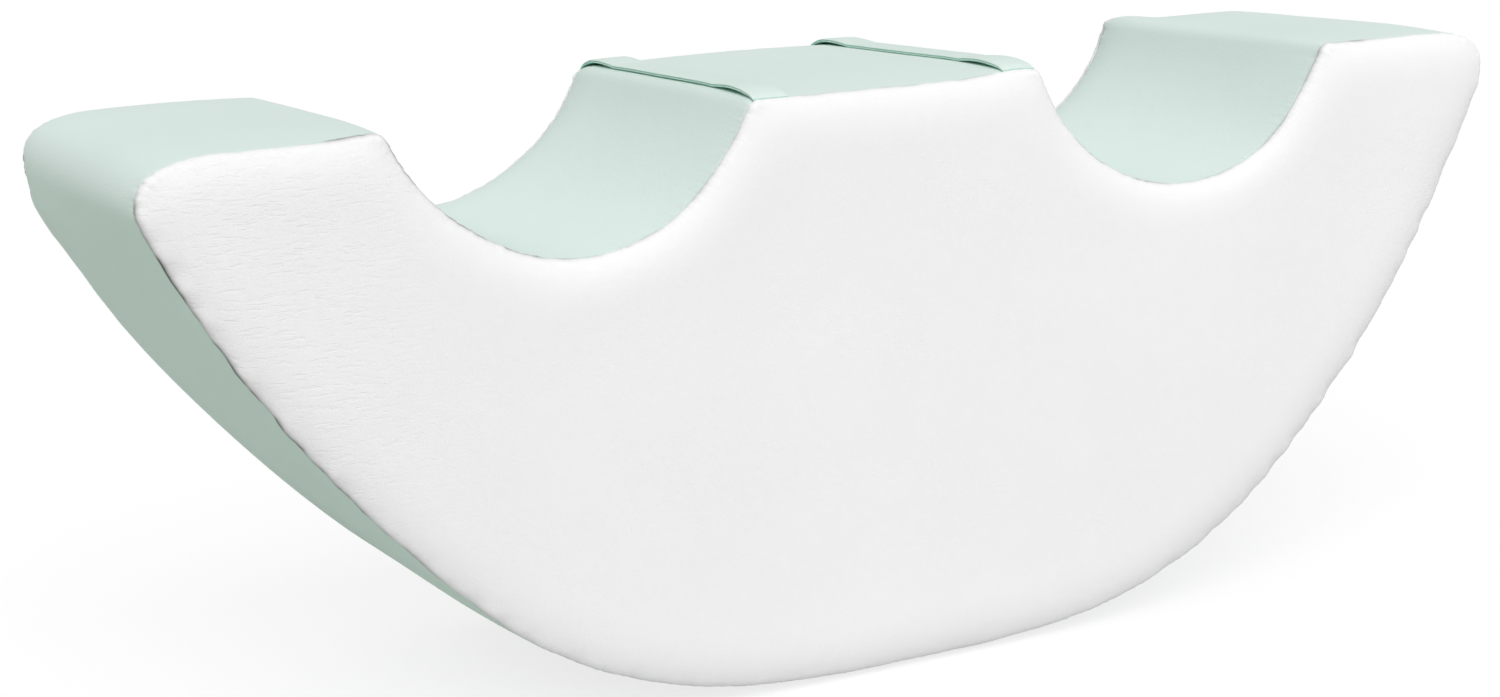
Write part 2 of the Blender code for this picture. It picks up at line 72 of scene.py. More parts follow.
# Finish of the leatherette: sizes in metres, scales per metre, the rest in shares
LEATHER_GLOSS = 0.15
DULLEST = 0.80
LEAST_DULL = 0.66
PATCH_FROM = 0.3
PATCH_TO = 0.7
PATCH_DEPTH = 0.025
PEBBLES_PER_METRE = 700.0
GRIT_PER_METRE = 1900.0
GRIT_SHARE = 0.35
GRAIN_HEIGHT = 0.00022
GRAIN_STRENGTH = 0.8
TONES_PER_METRE = 4.5
CREASES_PER_METRE = (80.0, 80.0, 430.0)
CREASES_SHOW = (0.50, 0.72)
CREASE_DEPTH = 1.1
CREASE_PATCHES_PER_METRE = 7.0
CREASE_PATCHES_SHOW = (0.50, 0.80)
CREASE_PATCH_SHARE = 0.35
CREASED_FROM_X = -0.34
CREASED_TO_X = -0.50
SEAM_STITCH_PITCH = 0.0045
SEAM_PULL_HEIGHT = 0.00011
SEAM_PULL_REACH = 0.006

# How the leatherette is sewn, in metres and counts; rows and stations are distances from a seam or join
SKIN = 0.0009
WELD = 0.00001
NO_LENGTH = 1e-12
GAP = 0.0003
SIDE_ROUNDING = 0.045
CROWN_POWER = 0.8
RIM_ROLL_FRONT = 0.100
RIM_ROLL_BACK = 0.030
GROOVE_DEPTH = 0.0007
GROOVE_REACH = 0.0007
STATION_SPACING = 0.0024
SEAM_SAMPLES = 24001
BEND_STATIONS = 9
LONGEST_FLAT = 0.024
JOIN_STATIONS = (0.00015, 0.0006, 0.0012, 0.0020)
PANEL_ROWS = (0, 0.00002, 0.00009, 0.00023, 0.00045, 0.0008, 0.0013, 0.0021, 0.0031, 0.0045, 0.0060)
RIM_ROWS = (0, 0.0003, 0.0007, 0.0014, 0.0026, 0.0045, 0.008, 0.014, 0.024, 0.040, 0.060, 0.080, 0.105, 0.130)
JOIN_TUCK = 0.0007
JOIN_TUCK_REACH = 0.0008
FILL_PITCH = 0.005
FILL_LINE_SHARE = 0.866
PAST_SEAM = 0.01
CORNER_BLUR = 0.012
CORNER_BLUR_FROM = 0.002
CORNER_BLUR_TO = 0.009
BLUR_REACH = 0.15
BLUR_STEPS = 301
BLUR_LINE_REACH = 0.4
BLUR_LINE_STEPS = 1601
BATCH = 1000

# How far the sewing moves the cover, in metres; waves have a shortest and a longest length
WOBBLE_OUT = 0.0004
WOBBLE_ASIDE = 0.0007
WOBBLE_FADE = 0.012
WOBBLE_WAVES = (0.024, 0.080)
WOBBLE_LEAST = 0.45
WOBBLE_ON_FLANK = 0.75
PUCKER = 0.00022
PUCKER_REACH = 0.003
PUCKER_WAVES = (0.007, 0.016)
PULL_LEAST = 0.45
PULL_PER_BEND = 0.10
PULL_MOST_MORE = 1.4
CALM_BESIDE_STRAP = 0.020
SUNK_BESIDE_STRAP = 0.004

# Stretches of the seam, as places on the profile in metres
NEAR_TOP = 0.03
FLANK_PAST_X = 0.20
FLANK_X_FADE = 0.10
FLANK_BELOW_TOP = 0.025
FLANK_TOP_FADE = 0.03
DIP_ABOVE_Z = 0.34
DIP_Z_FADE = 0.02
DIP_TO_X = 0.45
DIP_X_FADE = 0.03
DECK_END_X = 0.445
DECK_END_REACH = 0.022
DECK_ABOVE_Z = 0.455
TIP_Z = 0.412
TIP_REACH = 0.022
TIP_PAST_X = 0.5

# How dark the seam's broken line of painted shade shows in each stretch, and how it breaks
LINE_ALL_ROUND = 0.06
LINE_ON_FLANK = 0.15
LINE_HIGH_ON_FLANK = 0.80
LINE_HIGH_FROM = 0.10
LINE_HIGH_FADE = 0.16
LINE_IN_DIP = 0.16
LINE_ON_DIP_WALL = 2.0
LINE_AT_DECK_END = 0.8
LINE_AT_TIP = 0.7
LINE_WAVES = (0.015, 0.090)
LINE_MEAN = 0.75
LINE_SWING = 0.55
LINE_LEAST = 0.3

# How far the foam moves the cover, in metres; a swell is a scale per metre, a seed and a share
FOAM_SLACK = 0.0012
FOAM_EDGE_SLACK = 0.0022
FOAM_EDGE_REACH = 0.010
FOAM_FACES_ROUND = 0.5
FOAM_CUTS = (-0.125, -0.110, -0.092, -0.072, -0.050, -0.020, 0.020, 0.060, 0.100, 0.125)
CAD_ROLL = 0.018
RIM_SWELL = 0.0004
RIM_SWELLS = ((9.0, 4.7, 1.0), (24.0, 8.2, 0.4))
RIM_SWELL_FROM = 0.012
RIM_SWELL_FADE = 0.04
NOISE_SHIFT = 2.3
PANEL_SWELL = 0.0007
PANEL_SWELLS = ((7.0, 0.0, 1.0), (17.0, 5.0, 0.45))
PANEL_SWELL_FADE = 0.03
ZIP_CALM_WIDTH = 0.022
ZIP_CALM_FADE = 0.03

# Lumps of the soft block: a place (x, z) on its profile, how far the lump reaches, and how far the
# profile moves there (along X, up) at the front seam, in the middle and at the back seam
LUMPS = (
    ((-0.600, 0.415), 0.050, (-0.0008, 0.0), (0.0, 0.0), (0.0, 0.0)),
    ((-0.600, 0.428), 0.018, (0.0, 0.0), (0.0008, 0.0), (0.0030, 0.0)),
    ((-0.594, 0.388), 0.034, (0.0, 0.0), (-0.0025, 0.0), (-0.0058, 0.0)),
    ((-0.545, 0.320), 0.110, (-0.0008, 0.0), (-0.0055, 0.0), (-0.0065, 0.0)),
    ((-0.300, 0.090), 0.090, (-0.0012, -0.0014), (0.0, 0.0), (0.0, 0.0)),
    ((-0.500, 0.466), 0.090, (0.0, 0.0), (0.0, 0.0030), (0.0, 0.0030)),
    ((-0.582, 0.450), 0.030, (0.0, 0.0), (0.0, 0.0010), (-0.0010, 0.0020)),
    ((-0.428, 0.466), 0.030, (-0.0030, 0.0030), (0.0, 0.0), (0.0, 0.0)),
    ((-0.355, 0.390), 0.050, (0.0016, 0.0025), (0.0, 0.0), (0.0, 0.0)),
    ((-0.158, 0.420), 0.050, (-0.0023, 0.0019), (-0.0012, 0.0010), (0.0, 0.0)),
    ((-0.200, 0.390), 0.070, (0.0, 0.0), (-0.0020, 0.0030), (-0.0025, 0.0042)),
    ((0.000, 0.469), 0.140, (0.0, 0.0), (0.0, 0.0030), (0.0, 0.0042)),
    ((0.110, 0.469), 0.035, (0.0, 0.0040), (0.0, 0.0010), (0.0, 0.0)),
    ((0.397, 0.430), 0.040, (-0.0033, 0.0022), (0.0, 0.0), (0.0, 0.0)),
    ((0.430, 0.466), 0.020, (0.0, 0.0), (0.0, 0.0), (0.0, 0.0045)),
    ((0.580, 0.360), 0.120, (-0.0065, 0.0), (-0.0030, 0.0), (0.0, 0.0)),
    ((0.598, 0.435), 0.020, (-0.0030, 0.0), (-0.0010, 0.0), (0.0, 0.0)),
)

# Grab straps, in metres, counts and scales per metre
STRAP_LIFT = 0.0022
STRAP_LIFT_LENGTH = 0.066
STRAP_THICK = 0.0028
STRAP_END_THICK = 0.0018
STRAP_THIN_LENGTH = 0.018
STRAP_FOLD_RADIUS = 0.0009
STRAP_SUNK = 0.0016
STRAP_SUNK_LENGTH = 0.008
STRAP_ROWS = 150
STRAP_EDGE_STEPS = 6
STRAP_TOP_STEPS = 12
STRAP_SWAY = 0.0007
STRAP_SWAY_SCALE = 16.0
STRAP_PUFF = 0.0003
STRAP_WAVE = 0.0002
STRAP_WAVE_SCALE = 45.0

# Zip along the back, in metres, degrees, counts and shares of a thread or of a turn
HEM_FOLD = 0.0010
HEM_LAP = 0.0110
HEM_STITCH_ROWS = (0.0022, 0.0098)
STITCH_PITCH = 0.0040
STITCH_LENGTH = 0.0030
STITCH_THICK = 0.0005
STITCH_EDGE = 0.35
STITCH_FLATNESS = 0.8
STITCH_STANDS_OUT = 0.1
HEM_STEPS = 6
SLIT_CUTS = (0.0008, 0.0018, 0.0035)
SLIT_CUT_REACH = 0.02
SLIT_END_REACH = 0.03
JOIN_DENT = 0.0006
JOIN_DENT_REACH = 0.0012
ON_EDGE = 0.00002
CUT_SLACK = 0.000001
TAPE_EDGE = 0.00015
COIL_PITCH = 0.00125
COIL_WIRE = 0.00034
RING_RADIUS = 0.5
RING_WIRE = 0.12
COIL_LEAN = 0.22
METAL_CORNER = 35.0
METAL_FLAT = 1.0

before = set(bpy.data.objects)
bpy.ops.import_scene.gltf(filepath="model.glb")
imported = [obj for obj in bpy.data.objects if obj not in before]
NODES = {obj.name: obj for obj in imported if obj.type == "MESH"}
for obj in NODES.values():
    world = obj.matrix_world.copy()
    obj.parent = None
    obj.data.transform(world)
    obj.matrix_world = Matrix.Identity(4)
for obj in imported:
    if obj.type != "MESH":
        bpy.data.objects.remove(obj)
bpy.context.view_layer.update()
SCENE = bpy.context.scene


def deselect_all():
    for thing in list(bpy.context.selected_objects):
        thing.select_set(False)


def select_only(thing):
    deselect_all()
    bpy.context.view_layer.objects.active = thing
    thing.select_set(True)


def apply_modifiers(thing):
    select_only(thing)
    for modifier in list(thing.modifiers):
        bpy.ops.object.modifier_apply(modifier=modifier.name)


def give_finish(piece, material, smooth_angle):
    """Gives the piece that is selected its material, and smooth shading up to an angle in degrees."""
    piece.data.materials.append(material)
    bpy.ops.object.shade_smooth_by_angle(angle=math.radians(smooth_angle))


def new_piece(name, bm, material, smooth_angle):
    """A named object from a bmesh, with its place in its mesh."""
    mesh = bpy.data.meshes.new(name)
    bm.to_mesh(mesh)
    bm.free()
    piece = bpy.data.objects.new(name, mesh)
    SCENE.collection.objects.link(piece)
    select_only(piece)
    give_finish(piece, material, smooth_angle)
    return piece


def new_primitive(name, add, **settings):
    """A primitive by one of Blender's add operators, alone selected, with its turn in its mesh."""
    deselect_all()
    add(**settings)
    piece = bpy.context.active_object
    piece.name = name
    bpy.ops.object.transform_apply(location=True, rotation=True, scale=True)
    return piece


def bevel_all(width, segments, flatness=None):
    """Bevels every edge of the active piece, and may flatten it along Y."""
    bpy.ops.object.mode_set(mode="EDIT")
    bpy.ops.mesh.select_all(action="SELECT")
    bpy.ops.mesh.bevel(offset=width, segments=segments, affect="EDGES")
    if flatness:
        bpy.ops.transform.resize(value=(1.0, flatness, 1.0))
    bpy.ops.object.mode_set(mode="OBJECT")


def repeat(piece, label, pitch, count):
    """Copies of a piece in a row along X, within its mesh."""
    row = piece.modifiers.new(label, "ARRAY")
    row.use_relative_offset = False
    row.use_constant_offset = True
    row.constant_offset_displace = (pitch, 0.0, 0.0)
    row.count = count
    apply_modifiers(piece)


def merged_copy(name):
    """A bmesh of a CAD node with its loose triangles joined."""
    bm = bmesh.new()
    bm.from_mesh(NODES[name].data)
    bmesh.ops.remove_doubles(bm, verts=bm.verts, dist=WELD)
    return bm


# Camera, floor and light

def place_camera():
    yaw = math.radians(CAMERA_YAW)
    pitch = math.radians(CAMERA_PITCH)
    roll = math.radians(CAMERA_ROLL)
    forward = Vector((math.sin(yaw) * math.cos(pitch), math.cos(yaw) * math.cos(pitch), math.sin(pitch)))
    level_right = Vector((math.cos(yaw), -math.sin(yaw), 0.0))
    level_up = level_right.cross(forward)
    right = level_right * math.cos(roll) + level_up * math.sin(roll)
    up = level_up * math.cos(roll) - level_right * math.sin(roll)
    camera_data = bpy.data.cameras.new("photo_camera")
    camera_data.lens = CAMERA_LENS
    camera_data.sensor_width = CAMERA_SENSOR
    camera_data.sensor_fit = "HORIZONTAL"
    camera_data.clip_start, camera_data.clip_end = CAMERA_SEES
    camera = bpy.data.objects.new("photo_camera", camera_data)
    SCENE.collection.objects.link(camera)
    turn = Matrix((right, up, -forward)).transposed().to_4x4()
    camera.matrix_world = Matrix.Translation(Vector(CAMERA_PLACE)) @ turn
    SCENE.camera = camera


def add_node(tree, kind, inputs=None, **settings):
    """A shader node with its settings, and its inputs linked or set."""
    node = tree.nodes.new(kind)
    for key, value in settings.items():
        setattr(node, key, value)
    for key, value in (inputs or {}).items():
        socket = node.inputs[key]
        if isinstance(value, bpy.types.NodeSocket):
            tree.links.new(value, socket)
        else:
            socket.default_value = value
    return node


def maths(tree, operation, first, second=0.0, third=0.0):
    node = add_node(tree, "ShaderNodeMath", {0: first, 1: second, 2: third}, operation=operation)
    return node.outputs[0]


def spread(tree, value, low, high, to_low=0.0, to_high=1.0, smooth=False):
    """A value carried from one range to another and held within it."""
    node = add_node(
        tree,
        "ShaderNodeMapRange",
        {"Value": value, "From Min": low, "From Max": high, "To Min": to_low, "To Max": to_high},
        interpolation_type="SMOOTHSTEP" if smooth else "LINEAR",
    )
    return node.outputs[0]


def seen_directly(tree):
    """1 for rays from the camera, off gloss and through glass, and 0 for light on its way to a surface."""
    path = add_node(tree, "ShaderNodeLightPath")
    camera_or_gloss = maths(tree, "MAXIMUM", path.outputs["Is Camera Ray"], path.outputs["Is Glossy Ray"])
    return maths(tree, "MAXIMUM", camera_or_gloss, path.outputs["Is Transmission Ray"])


def light_world():
    """A sky a little duller low at both ends, that the camera, gloss and glass see as plain white."""
    world = bpy.data.worlds.new("studio_sky")
    world.use_nodes = True
    tree = world.node_tree
    tree.nodes.clear()
    looking = add_node(tree, "ShaderNodeTexCoord").outputs["Generated"]
    sideways = add_node(
        tree,
        "ShaderNodeVectorMath",
        {0: looking, 1: Vector(GLOOM_FROM).normalized()},
        operation="DOT_PRODUCT",
    )
    endwards = maths(tree, "ABSOLUTE", sideways.outputs["Value"])
    dullest = SKY_LEVEL * (1 - GLOOM_SHARE)
    light = spread(tree, endwards, GLOOM_REACH, 1.0, SKY_LEVEL, dullest, smooth=True)
    level = spread(tree, seen_directly(tree), 0.0, 1.0, light, SHOWN_WHITE)
    sky = add_node(tree, "ShaderNodeBackground", {"Color": (1, 1, 1, 1), "Strength": level})
    out = add_node(tree, "ShaderNodeOutputWorld")
    tree.links.new(sky.outputs[0], out.inputs["Surface"])
    SCENE.world = world


def lay_floor():
    """A pale floor that reads white and keeps the object's shadow."""
    place = (0.0, 0.0, -GAP)
    floor = new_primitive("studio_floor", bpy.ops.mesh.primitive_plane_add, size=FLOOR_SIZE, location=place)
    material = bpy.data.materials.new("studio_floor_paint")
    material.use_nodes = True
    tree = material.node_tree
    tree.nodes.clear()
    paint = add_node(tree, "ShaderNodeBsdfDiffuse", {"Color": (FLOOR_PAINT, FLOOR_PAINT, FLOOR_PAINT, 1)})
    from_key = KEY_STRENGTH * Vector(KEY_FROM).normalized().z / math.pi
    lit = FLOOR_PAINT * (SKY_LEVEL * (1 - GLOOM_ON_FLOOR) + from_key)
    white_share = (1 - FLOOR_SHADOW_SHARE * lit) / (1 - FLOOR_SHADOW_SHARE)
    white = add_node(tree, "ShaderNodeEmission", {"Color": (1, 1, 1, 1), "Strength": white_share})
    shown = add_node(
        tree,
        "ShaderNodeMixShader",
        {0: FLOOR_SHADOW_SHARE, 1: white.outputs[0], 2: paint.outputs[0]},
    )
    mixed = add_node(
        tree,
        "ShaderNodeMixShader",
        {0: seen_directly(tree), 1: paint.outputs[0], 2: shown.outputs[0]},
    )
    out = add_node(tree, "ShaderNodeOutputMaterial")
    tree.links.new(mixed.outputs[0], out.inputs["Surface"])
    floor.data.materials.append(material)


def hang_key_light():
    """One broad soft light from above the front left."""
    lamp_data = bpy.data.lights.new("key_softbox", "SUN")
    lamp_data.energy = KEY_STRENGTH
    lamp_data.angle = math.radians(KEY_SPREAD)
    lamp = bpy.data.objects.new("key_softbox", lamp_data)
    SCENE.collection.objects.link(lamp)
    lamp.location = Vector(KEY_FROM) * KEY_DISTANCE
    lamp.rotation_euler = (-Vector(KEY_FROM)).to_track_quat("-Z", "Y").to_euler()


def hang_fill_light():
    """A weak square panel low at the front right, that lifts the far end of the side."""
    lamp_data = bpy.data.lights.new("fill_panel", "AREA")
    lamp_data.shape = "SQUARE"
    lamp_data.size = FILL_SIZE
    lamp_data.energy = FILL_WATTS
    lamp = bpy.data.objects.new("fill_panel", lamp_data)
    SCENE.collection.objects.link(lamp)
    lamp.location = Vector(FILL_PLACE)
    lamp.rotation_euler = (Vector(FILL_AIM) - lamp.location).to_track_quat("-Z", "Y").to_euler()


# Materials

def new_group(name, inputs, outputs):
    """An empty shader group with named number inputs and outputs."""
    group = bpy.data.node_groups.new(name, "ShaderNodeTree")
    for label, value in inputs:
        socket = group.interface.new_socket(label, in_out="INPUT", socket_type="NodeSocketFloat")
        socket.default_value = value
    for label in outputs:
        group.interface.new_socket(label, in_out="OUTPUT", socket_type="NodeSocketFloat")
    entry = group.nodes.new("NodeGroupInput")
    leave = group.nodes.new("NodeGroupOutput")
    return group, entry, leave


def object_place(tree):
    return add_node(tree, "ShaderNodeTexCoord").outputs["Object"]


def clouds(tree, place, scale, detail):
    node = add_node(tree, "ShaderNodeTexNoise", {"Vector": place, "Scale": scale, "Detail": detail})
    return node.outputs[0]


def blend_colours(tree, share, first, second):
    """Two colours mixed by a share, each given as red, green and blue or as a socket."""
    sides = [side if isinstance(side, bpy.types.NodeSocket) else (*side, 1) for side in (first, second)]
    node = add_node(
        tree,
        "ShaderNodeMix",
        {"Factor": share, "A": sides[0], "B": sides[1]},
        data_type="RGBA",
    )
    return node.outputs["Result"]


def dress(tree, shader, colour, height, depth, strength=1.0):
    """Gives a shader its colour and a relief of a depth in metres."""
    bump = add_node(tree, "ShaderNodeBump", {"Strength": strength, "Distance": depth, "Height": height})
    tree.links.new(colour, shader.inputs["Base Color"])
    tree.links.new(bump.outputs[0], shader.inputs["Normal"])


def leather_grain_group():
    """Pebbled grain with short flat creases, and slow changes of tone, in object space."""
    inputs = (("Crease Amount", 0.5), ("Crease Side", 0.0))
    group, entry, leave = new_group("leather_grain", inputs, ("Height", "Tone"))
    place = object_place(group)
    pebbles = add_node(
        group,
        "ShaderNodeTexVoronoi",
        {"Vector": place, "Scale": PEBBLES_PER_METRE, "Randomness": 0.9},
        feature="SMOOTH_F1",
    )
    grit = clouds(group, place, GRIT_PER_METRE, detail=2.0)
    stretched = add_node(group, "ShaderNodeMapping", {"Vector": place, "Scale": CREASES_PER_METRE})
    creases = add_node(
        group,
        "ShaderNodeTexNoise",
        {"Vector": stretched.outputs[0], "Scale": 1.0, "Detail": 2.0, "Roughness": 0.5, "Distortion": 0.6},
    )
    crease_lines = spread(group, creases.outputs[0], *CREASES_SHOW, smooth=True)
    patches = clouds(group, place, CREASE_PATCHES_PER_METRE, detail=1.0)
    in_patch = spread(group, patches, *CREASE_PATCHES_SHOW, 0.0, CREASE_PATCH_SHARE, smooth=True)
    axes = add_node(group, "ShaderNodeSeparateXYZ", {"Vector": place})
    at_left = spread(group, axes.outputs["X"], CREASED_FROM_X, CREASED_TO_X, smooth=True)
    at_side = maths(group, "MULTIPLY", at_left, entry.outputs["Crease Side"])
    creased = maths(group, "MAXIMUM", in_patch, at_side)
    amount = maths(group, "MULTIPLY", creased, entry.outputs["Crease Amount"])
    crease = maths(group, "MULTIPLY", crease_lines, amount)
    grain = maths(group, "MULTIPLY_ADD", grit, GRIT_SHARE, pebbles.outputs["Distance"])
    height = maths(group, "SUBTRACT", grain, maths(group, "MULTIPLY", crease, CREASE_DEPTH))
    group.links.new(height, leave.inputs["Height"])
    group.links.new(clouds(group, place, TONES_PER_METRE, detail=4.0), leave.inputs["Tone"])
    return group


def seam_press_group():
    """Small pulls at the stitches of a seam and the shadow in its groove, along the piece's seam map."""
    group, entry, leave = new_group("seam_press", (("Groove", 0.001),), ("Height", "Painted Groove Shade"))
    seam_map = add_node(group, "ShaderNodeUVMap", uv_map="seam_map")
    axes = add_node(group, "ShaderNodeSeparateXYZ", {"Vector": seam_map.outputs[0]})
    away = axes.outputs["Y"]
    turns = maths(group, "DIVIDE", axes.outputs["X"], SEAM_STITCH_PITCH)
    wave = maths(group, "SINE", maths(group, "MULTIPLY", turns, 2 * math.pi))
    near = maths(group, "DIVIDE", away, SEAM_PULL_REACH)
    fade = maths(group, "EXPONENT", maths(group, "MULTIPLY", near, -1.0))
    bite = maths(group, "DIVIDE", away, entry.outputs["Groove"])
    groove = maths(group, "EXPONENT", maths(group, "MULTIPLY", maths(group, "MULTIPLY", bite, bite), -1.0))
    group.links.new(maths(group, "MULTIPLY", wave, fade), leave.inputs["Height"])
    shown = add_node(group, "ShaderNodeAttribute", attribute_name="seam_shade", attribute_type="GEOMETRY")
    group.links.new(maths(group, "MULTIPLY", groove, shown.outputs["Fac"]), leave.inputs["Painted Groove Shade"])
    return group


def new_material(name):
    material = bpy.data.materials.new(name)
    material.use_nodes = True
    tree = material.node_tree
    tree.nodes.clear()
    out = add_node(tree, "ShaderNodeOutputMaterial")
    shader = add_node(tree, "ShaderNodeBsdfPrincipled")
    tree.links.new(shader.outputs[0], out.inputs["Surface"])
    return material, tree, shader


def leatherette(name, colours, crease_amount, crease_side, groove):
    """Coated leatherette with painted light and shade, paler where it faces up and darker where it faces
    down, with slow patches of tone, creases and seam grooves with painted shade in them.
    """
    material, tree, shader = new_material(name)
    lit_colour, shaded_colour, painted_seam_shade = colours
    creases = {"Crease Amount": crease_amount, "Crease Side": crease_side}
    grain = add_node(tree, "ShaderNodeGroup", creases, node_tree=LEATHER_GRAIN)
    press = add_node(tree, "ShaderNodeGroup", {"Groove": groove}, node_tree=SEAM_PRESS)
    facing = add_node(tree, "ShaderNodeTexCoord").outputs["Normal"]
    upright = add_node(tree, "ShaderNodeSeparateXYZ", {"Vector": facing}).outputs["Z"]
    # Painted light and shade: the lit colour where the surface faces up goes over into the shaded colour
    # where it faces down.
    painted_shade_share = spread(tree, upright, PAINTED_SHADE_FROM, PAINTED_SHADE_TO, smooth=True)
    plain = blend_colours(tree, painted_shade_share, lit_colour, shaded_colour)
    patch = spread(tree, grain.outputs["Tone"], PATCH_FROM, PATCH_TO, 0.0, PATCH_DEPTH)
    tinted = blend_colours(tree, patch, plain, (0, 0, 0))
    # Painted shade along the seam's groove, as strong as the seam shade attribute allows.
    base = blend_colours(tree, press.outputs["Painted Groove Shade"], tinted, painted_seam_shade)
    tree.links.new(base, shader.inputs["Base Color"])
    rough = spread(tree, grain.outputs["Tone"], 0.0, 1.0, LEAST_DULL, DULLEST)
    tree.links.new(rough, shader.inputs["Roughness"])
    shader.inputs["Specular IOR Level"].default_value = LEATHER_GLOSS
    pulls = add_node(
        tree,
        "ShaderNodeBump",
        {"Strength": 1.0, "Distance": SEAM_PULL_HEIGHT, "Height": press.outputs["Height"]},
    )
    bumps = add_node(
        tree,
        "ShaderNodeBump",
        {
            "Strength": GRAIN_STRENGTH,
            "Distance": GRAIN_HEIGHT,
            "Height": grain.outputs["Height"],
            "Normal": pulls.outputs[0],
        },
    )
    tree.links.new(bumps.outputs[0], shader.inputs["Normal"])
    return material


def foam_cells():
    """Open foam: small dark cells in a pale cream block."""
    material, tree, shader = new_material("cream_foam")
    place = object_place(tree)
    cells = add_node(tree, "ShaderNodeTexVoronoi", {"Vector": place, "Scale": 900.0})
    pores = clouds(tree, place, 240.0, detail=4.0)
    hollows = maths(tree, "MULTIPLY", cells.outputs["Distance"], pores)
    colour = blend_colours(tree, hollows, (0.88, 0.82, 0.66), (0.62, 0.53, 0.36))
    dress(tree, shader, colour, hollows, depth=0.0005)
    shader.inputs["Roughness"].default_value = 0.95
    return material


def woven_tape():
    """Twill weave of a zip tape."""
    material, tree, shader = new_material("woven_zip_tape")
    place = object_place(tree)
    warp = add_node(
        tree,
        "ShaderNodeTexWave",
        {"Vector": place, "Scale": 700.0, "Distortion": 0.3},
        bands_direction="DIAGONAL",
    )
    weft = add_node(tree, "ShaderNodeTexWave", {"Vector": place, "Scale": 950.0}, bands_direction="Z")
    weave = maths(tree, "MULTIPLY", warp.outputs["Fac"], weft.outputs["Fac"])
    colour = blend_colours(tree, weave, (0.70, 0.70, 0.68), (0.84, 0.84, 0.82))
    dress(tree, shader, colour, weave, depth=0.00012)
    shader.inputs["Roughness"].default_value = 0.85
    return material


def smooth_nylon(name, colour, roughness):
    """Drawn nylon of the coil and the sewing thread, a little cloudy."""
    material, tree, shader = new_material(name)
    place = object_place(tree)
    cloudy = tuple(part * 0.9 for part in colour)
    tint = blend_colours(tree, clouds(tree, place, 160.0, detail=3.0), colour, cloudy)
    strands = add_node(tree, "ShaderNodeTexWave", {"Vector": place, "Scale": 1400.0, "Distortion": 1.0})
    dress(tree, shader, tint, strands.outputs["Fac"], depth=0.00005, strength=0.6)
    shader.inputs["Roughness"].default_value = roughness
    return material


def nickel_plate():
    """Nickel plating with fine tumbling scratches and duller worn patches."""
    material, tree, shader = new_material("nickel_plating")
    place = object_place(tree)
    stretched = add_node(tree, "ShaderNodeMapping", {"Vector": place, "Scale": (300.0, 900.0, 3200.0)})
    tumbled = add_node(tree, "ShaderNodeTexNoise", {"Vector": stretched.outputs[0], "Detail": 4.0})
    scratches = tumbled.outputs[0]
    colour = blend_colours(tree, scratches, (0.74, 0.73, 0.70), (0.60, 0.59, 0.56))
    dress(tree, shader, colour, scratches, depth=0.00003, strength=0.3)
    worn = clouds(tree, place, 350.0, detail=2.0)
    rough = spread(tree, worn, 0.3, 0.7, to_low=0.16, to_high=0.38)
    tree.links.new(rough, shader.inputs["Roughness"])
    shader.inputs["Metallic"].default_value = 1.0
    return material


# The seam ring and the surfaces that start from it

def ring_order(start, allowed):
    """Vertices of a closed ring in order, from its start towards +X."""
    beside = [edge.other_vert(start) for edge in start.link_edges if edge in allowed]
    order = [start, max(beside, key=lambda vert: vert.co.x)]
    while True:
        last = order[-1]
        onward = [edge.other_vert(last) for edge in last.link_edges if edge in allowed]
        onward = [vert for vert in onward if vert is not order[-2]]
        if onward[0] is start:
            return order
        order.append(onward[0])


def seam_corners():
    """Corner points of the CAD front side's seam in order, and the depth of its flat middle."""
    bm = merged_copy("side_panel_front")
    face_y = min(vert.co.y for vert in bm.verts)
    seam_y = max(vert.co.y for vert in bm.verts)
    flat = {face for face in bm.faces if all(vert.co.y < face_y + WELD for vert in face.verts)}
    allowed = {edge for edge in bm.edges if sum(face in flat for face in edge.link_faces) == 1}
    ring = {vert for edge in allowed for vert in edge.verts}
    seen = set(ring)
    while True:
        start = min(ring, key=lambda vert: (round(abs(vert.co.x), 4), vert.co.z))
        order = ring_order(start, allowed)
        if order[0].co.y > seam_y - WELD:
            break
        ring = {edge.other_vert(vert) for vert in order for edge in vert.link_edges} - seen
        seen |= ring
        allowed = {edge for vert in ring for edge in vert.link_edges if edge.other_vert(vert) in ring}
    corners = np.array([vert.co[:] for vert in order])
    bm.free()
    return corners, -face_y


def split_flats(ring):
    """The same ring with its long straight stretches split, so that a smooth curve stays on them."""
    ahead = np.roll(ring, -1, axis=0)
    gaps = np.linalg.norm(ahead - ring, axis=1)
    parts = np.maximum(1, np.ceil(gaps / LONGEST_FLAT).astype(int))
    points = []
    for index, part in enumerate(parts):
        for step in range(part):
            points.append(ring[index] + (ahead[index] - ring[index]) * step / part)
    return np.array(points)


def on_ring(points, places):
    """Points of a closed cubic B-spline at station numbers with fractions."""
    count = len(points)
    whole = np.floor(places).astype(int)
    part = (places - whole)[:, None]
    before, here, after, later = (points[(whole + shift) % count] for shift in (-1, 0, 1, 2))
    blend = (1 - part) ** 3 * before + (3 * part ** 3 - 6 * part ** 2 + 4) * here
    blend += (3 * part + 3 * part ** 2 - 3 * part ** 3 + 1) * after + part ** 3 * later
    return blend / 6


def unit(vectors):
    return vectors / np.maximum(np.linalg.norm(vectors, axis=-1, keepdims=True), NO_LENGTH)


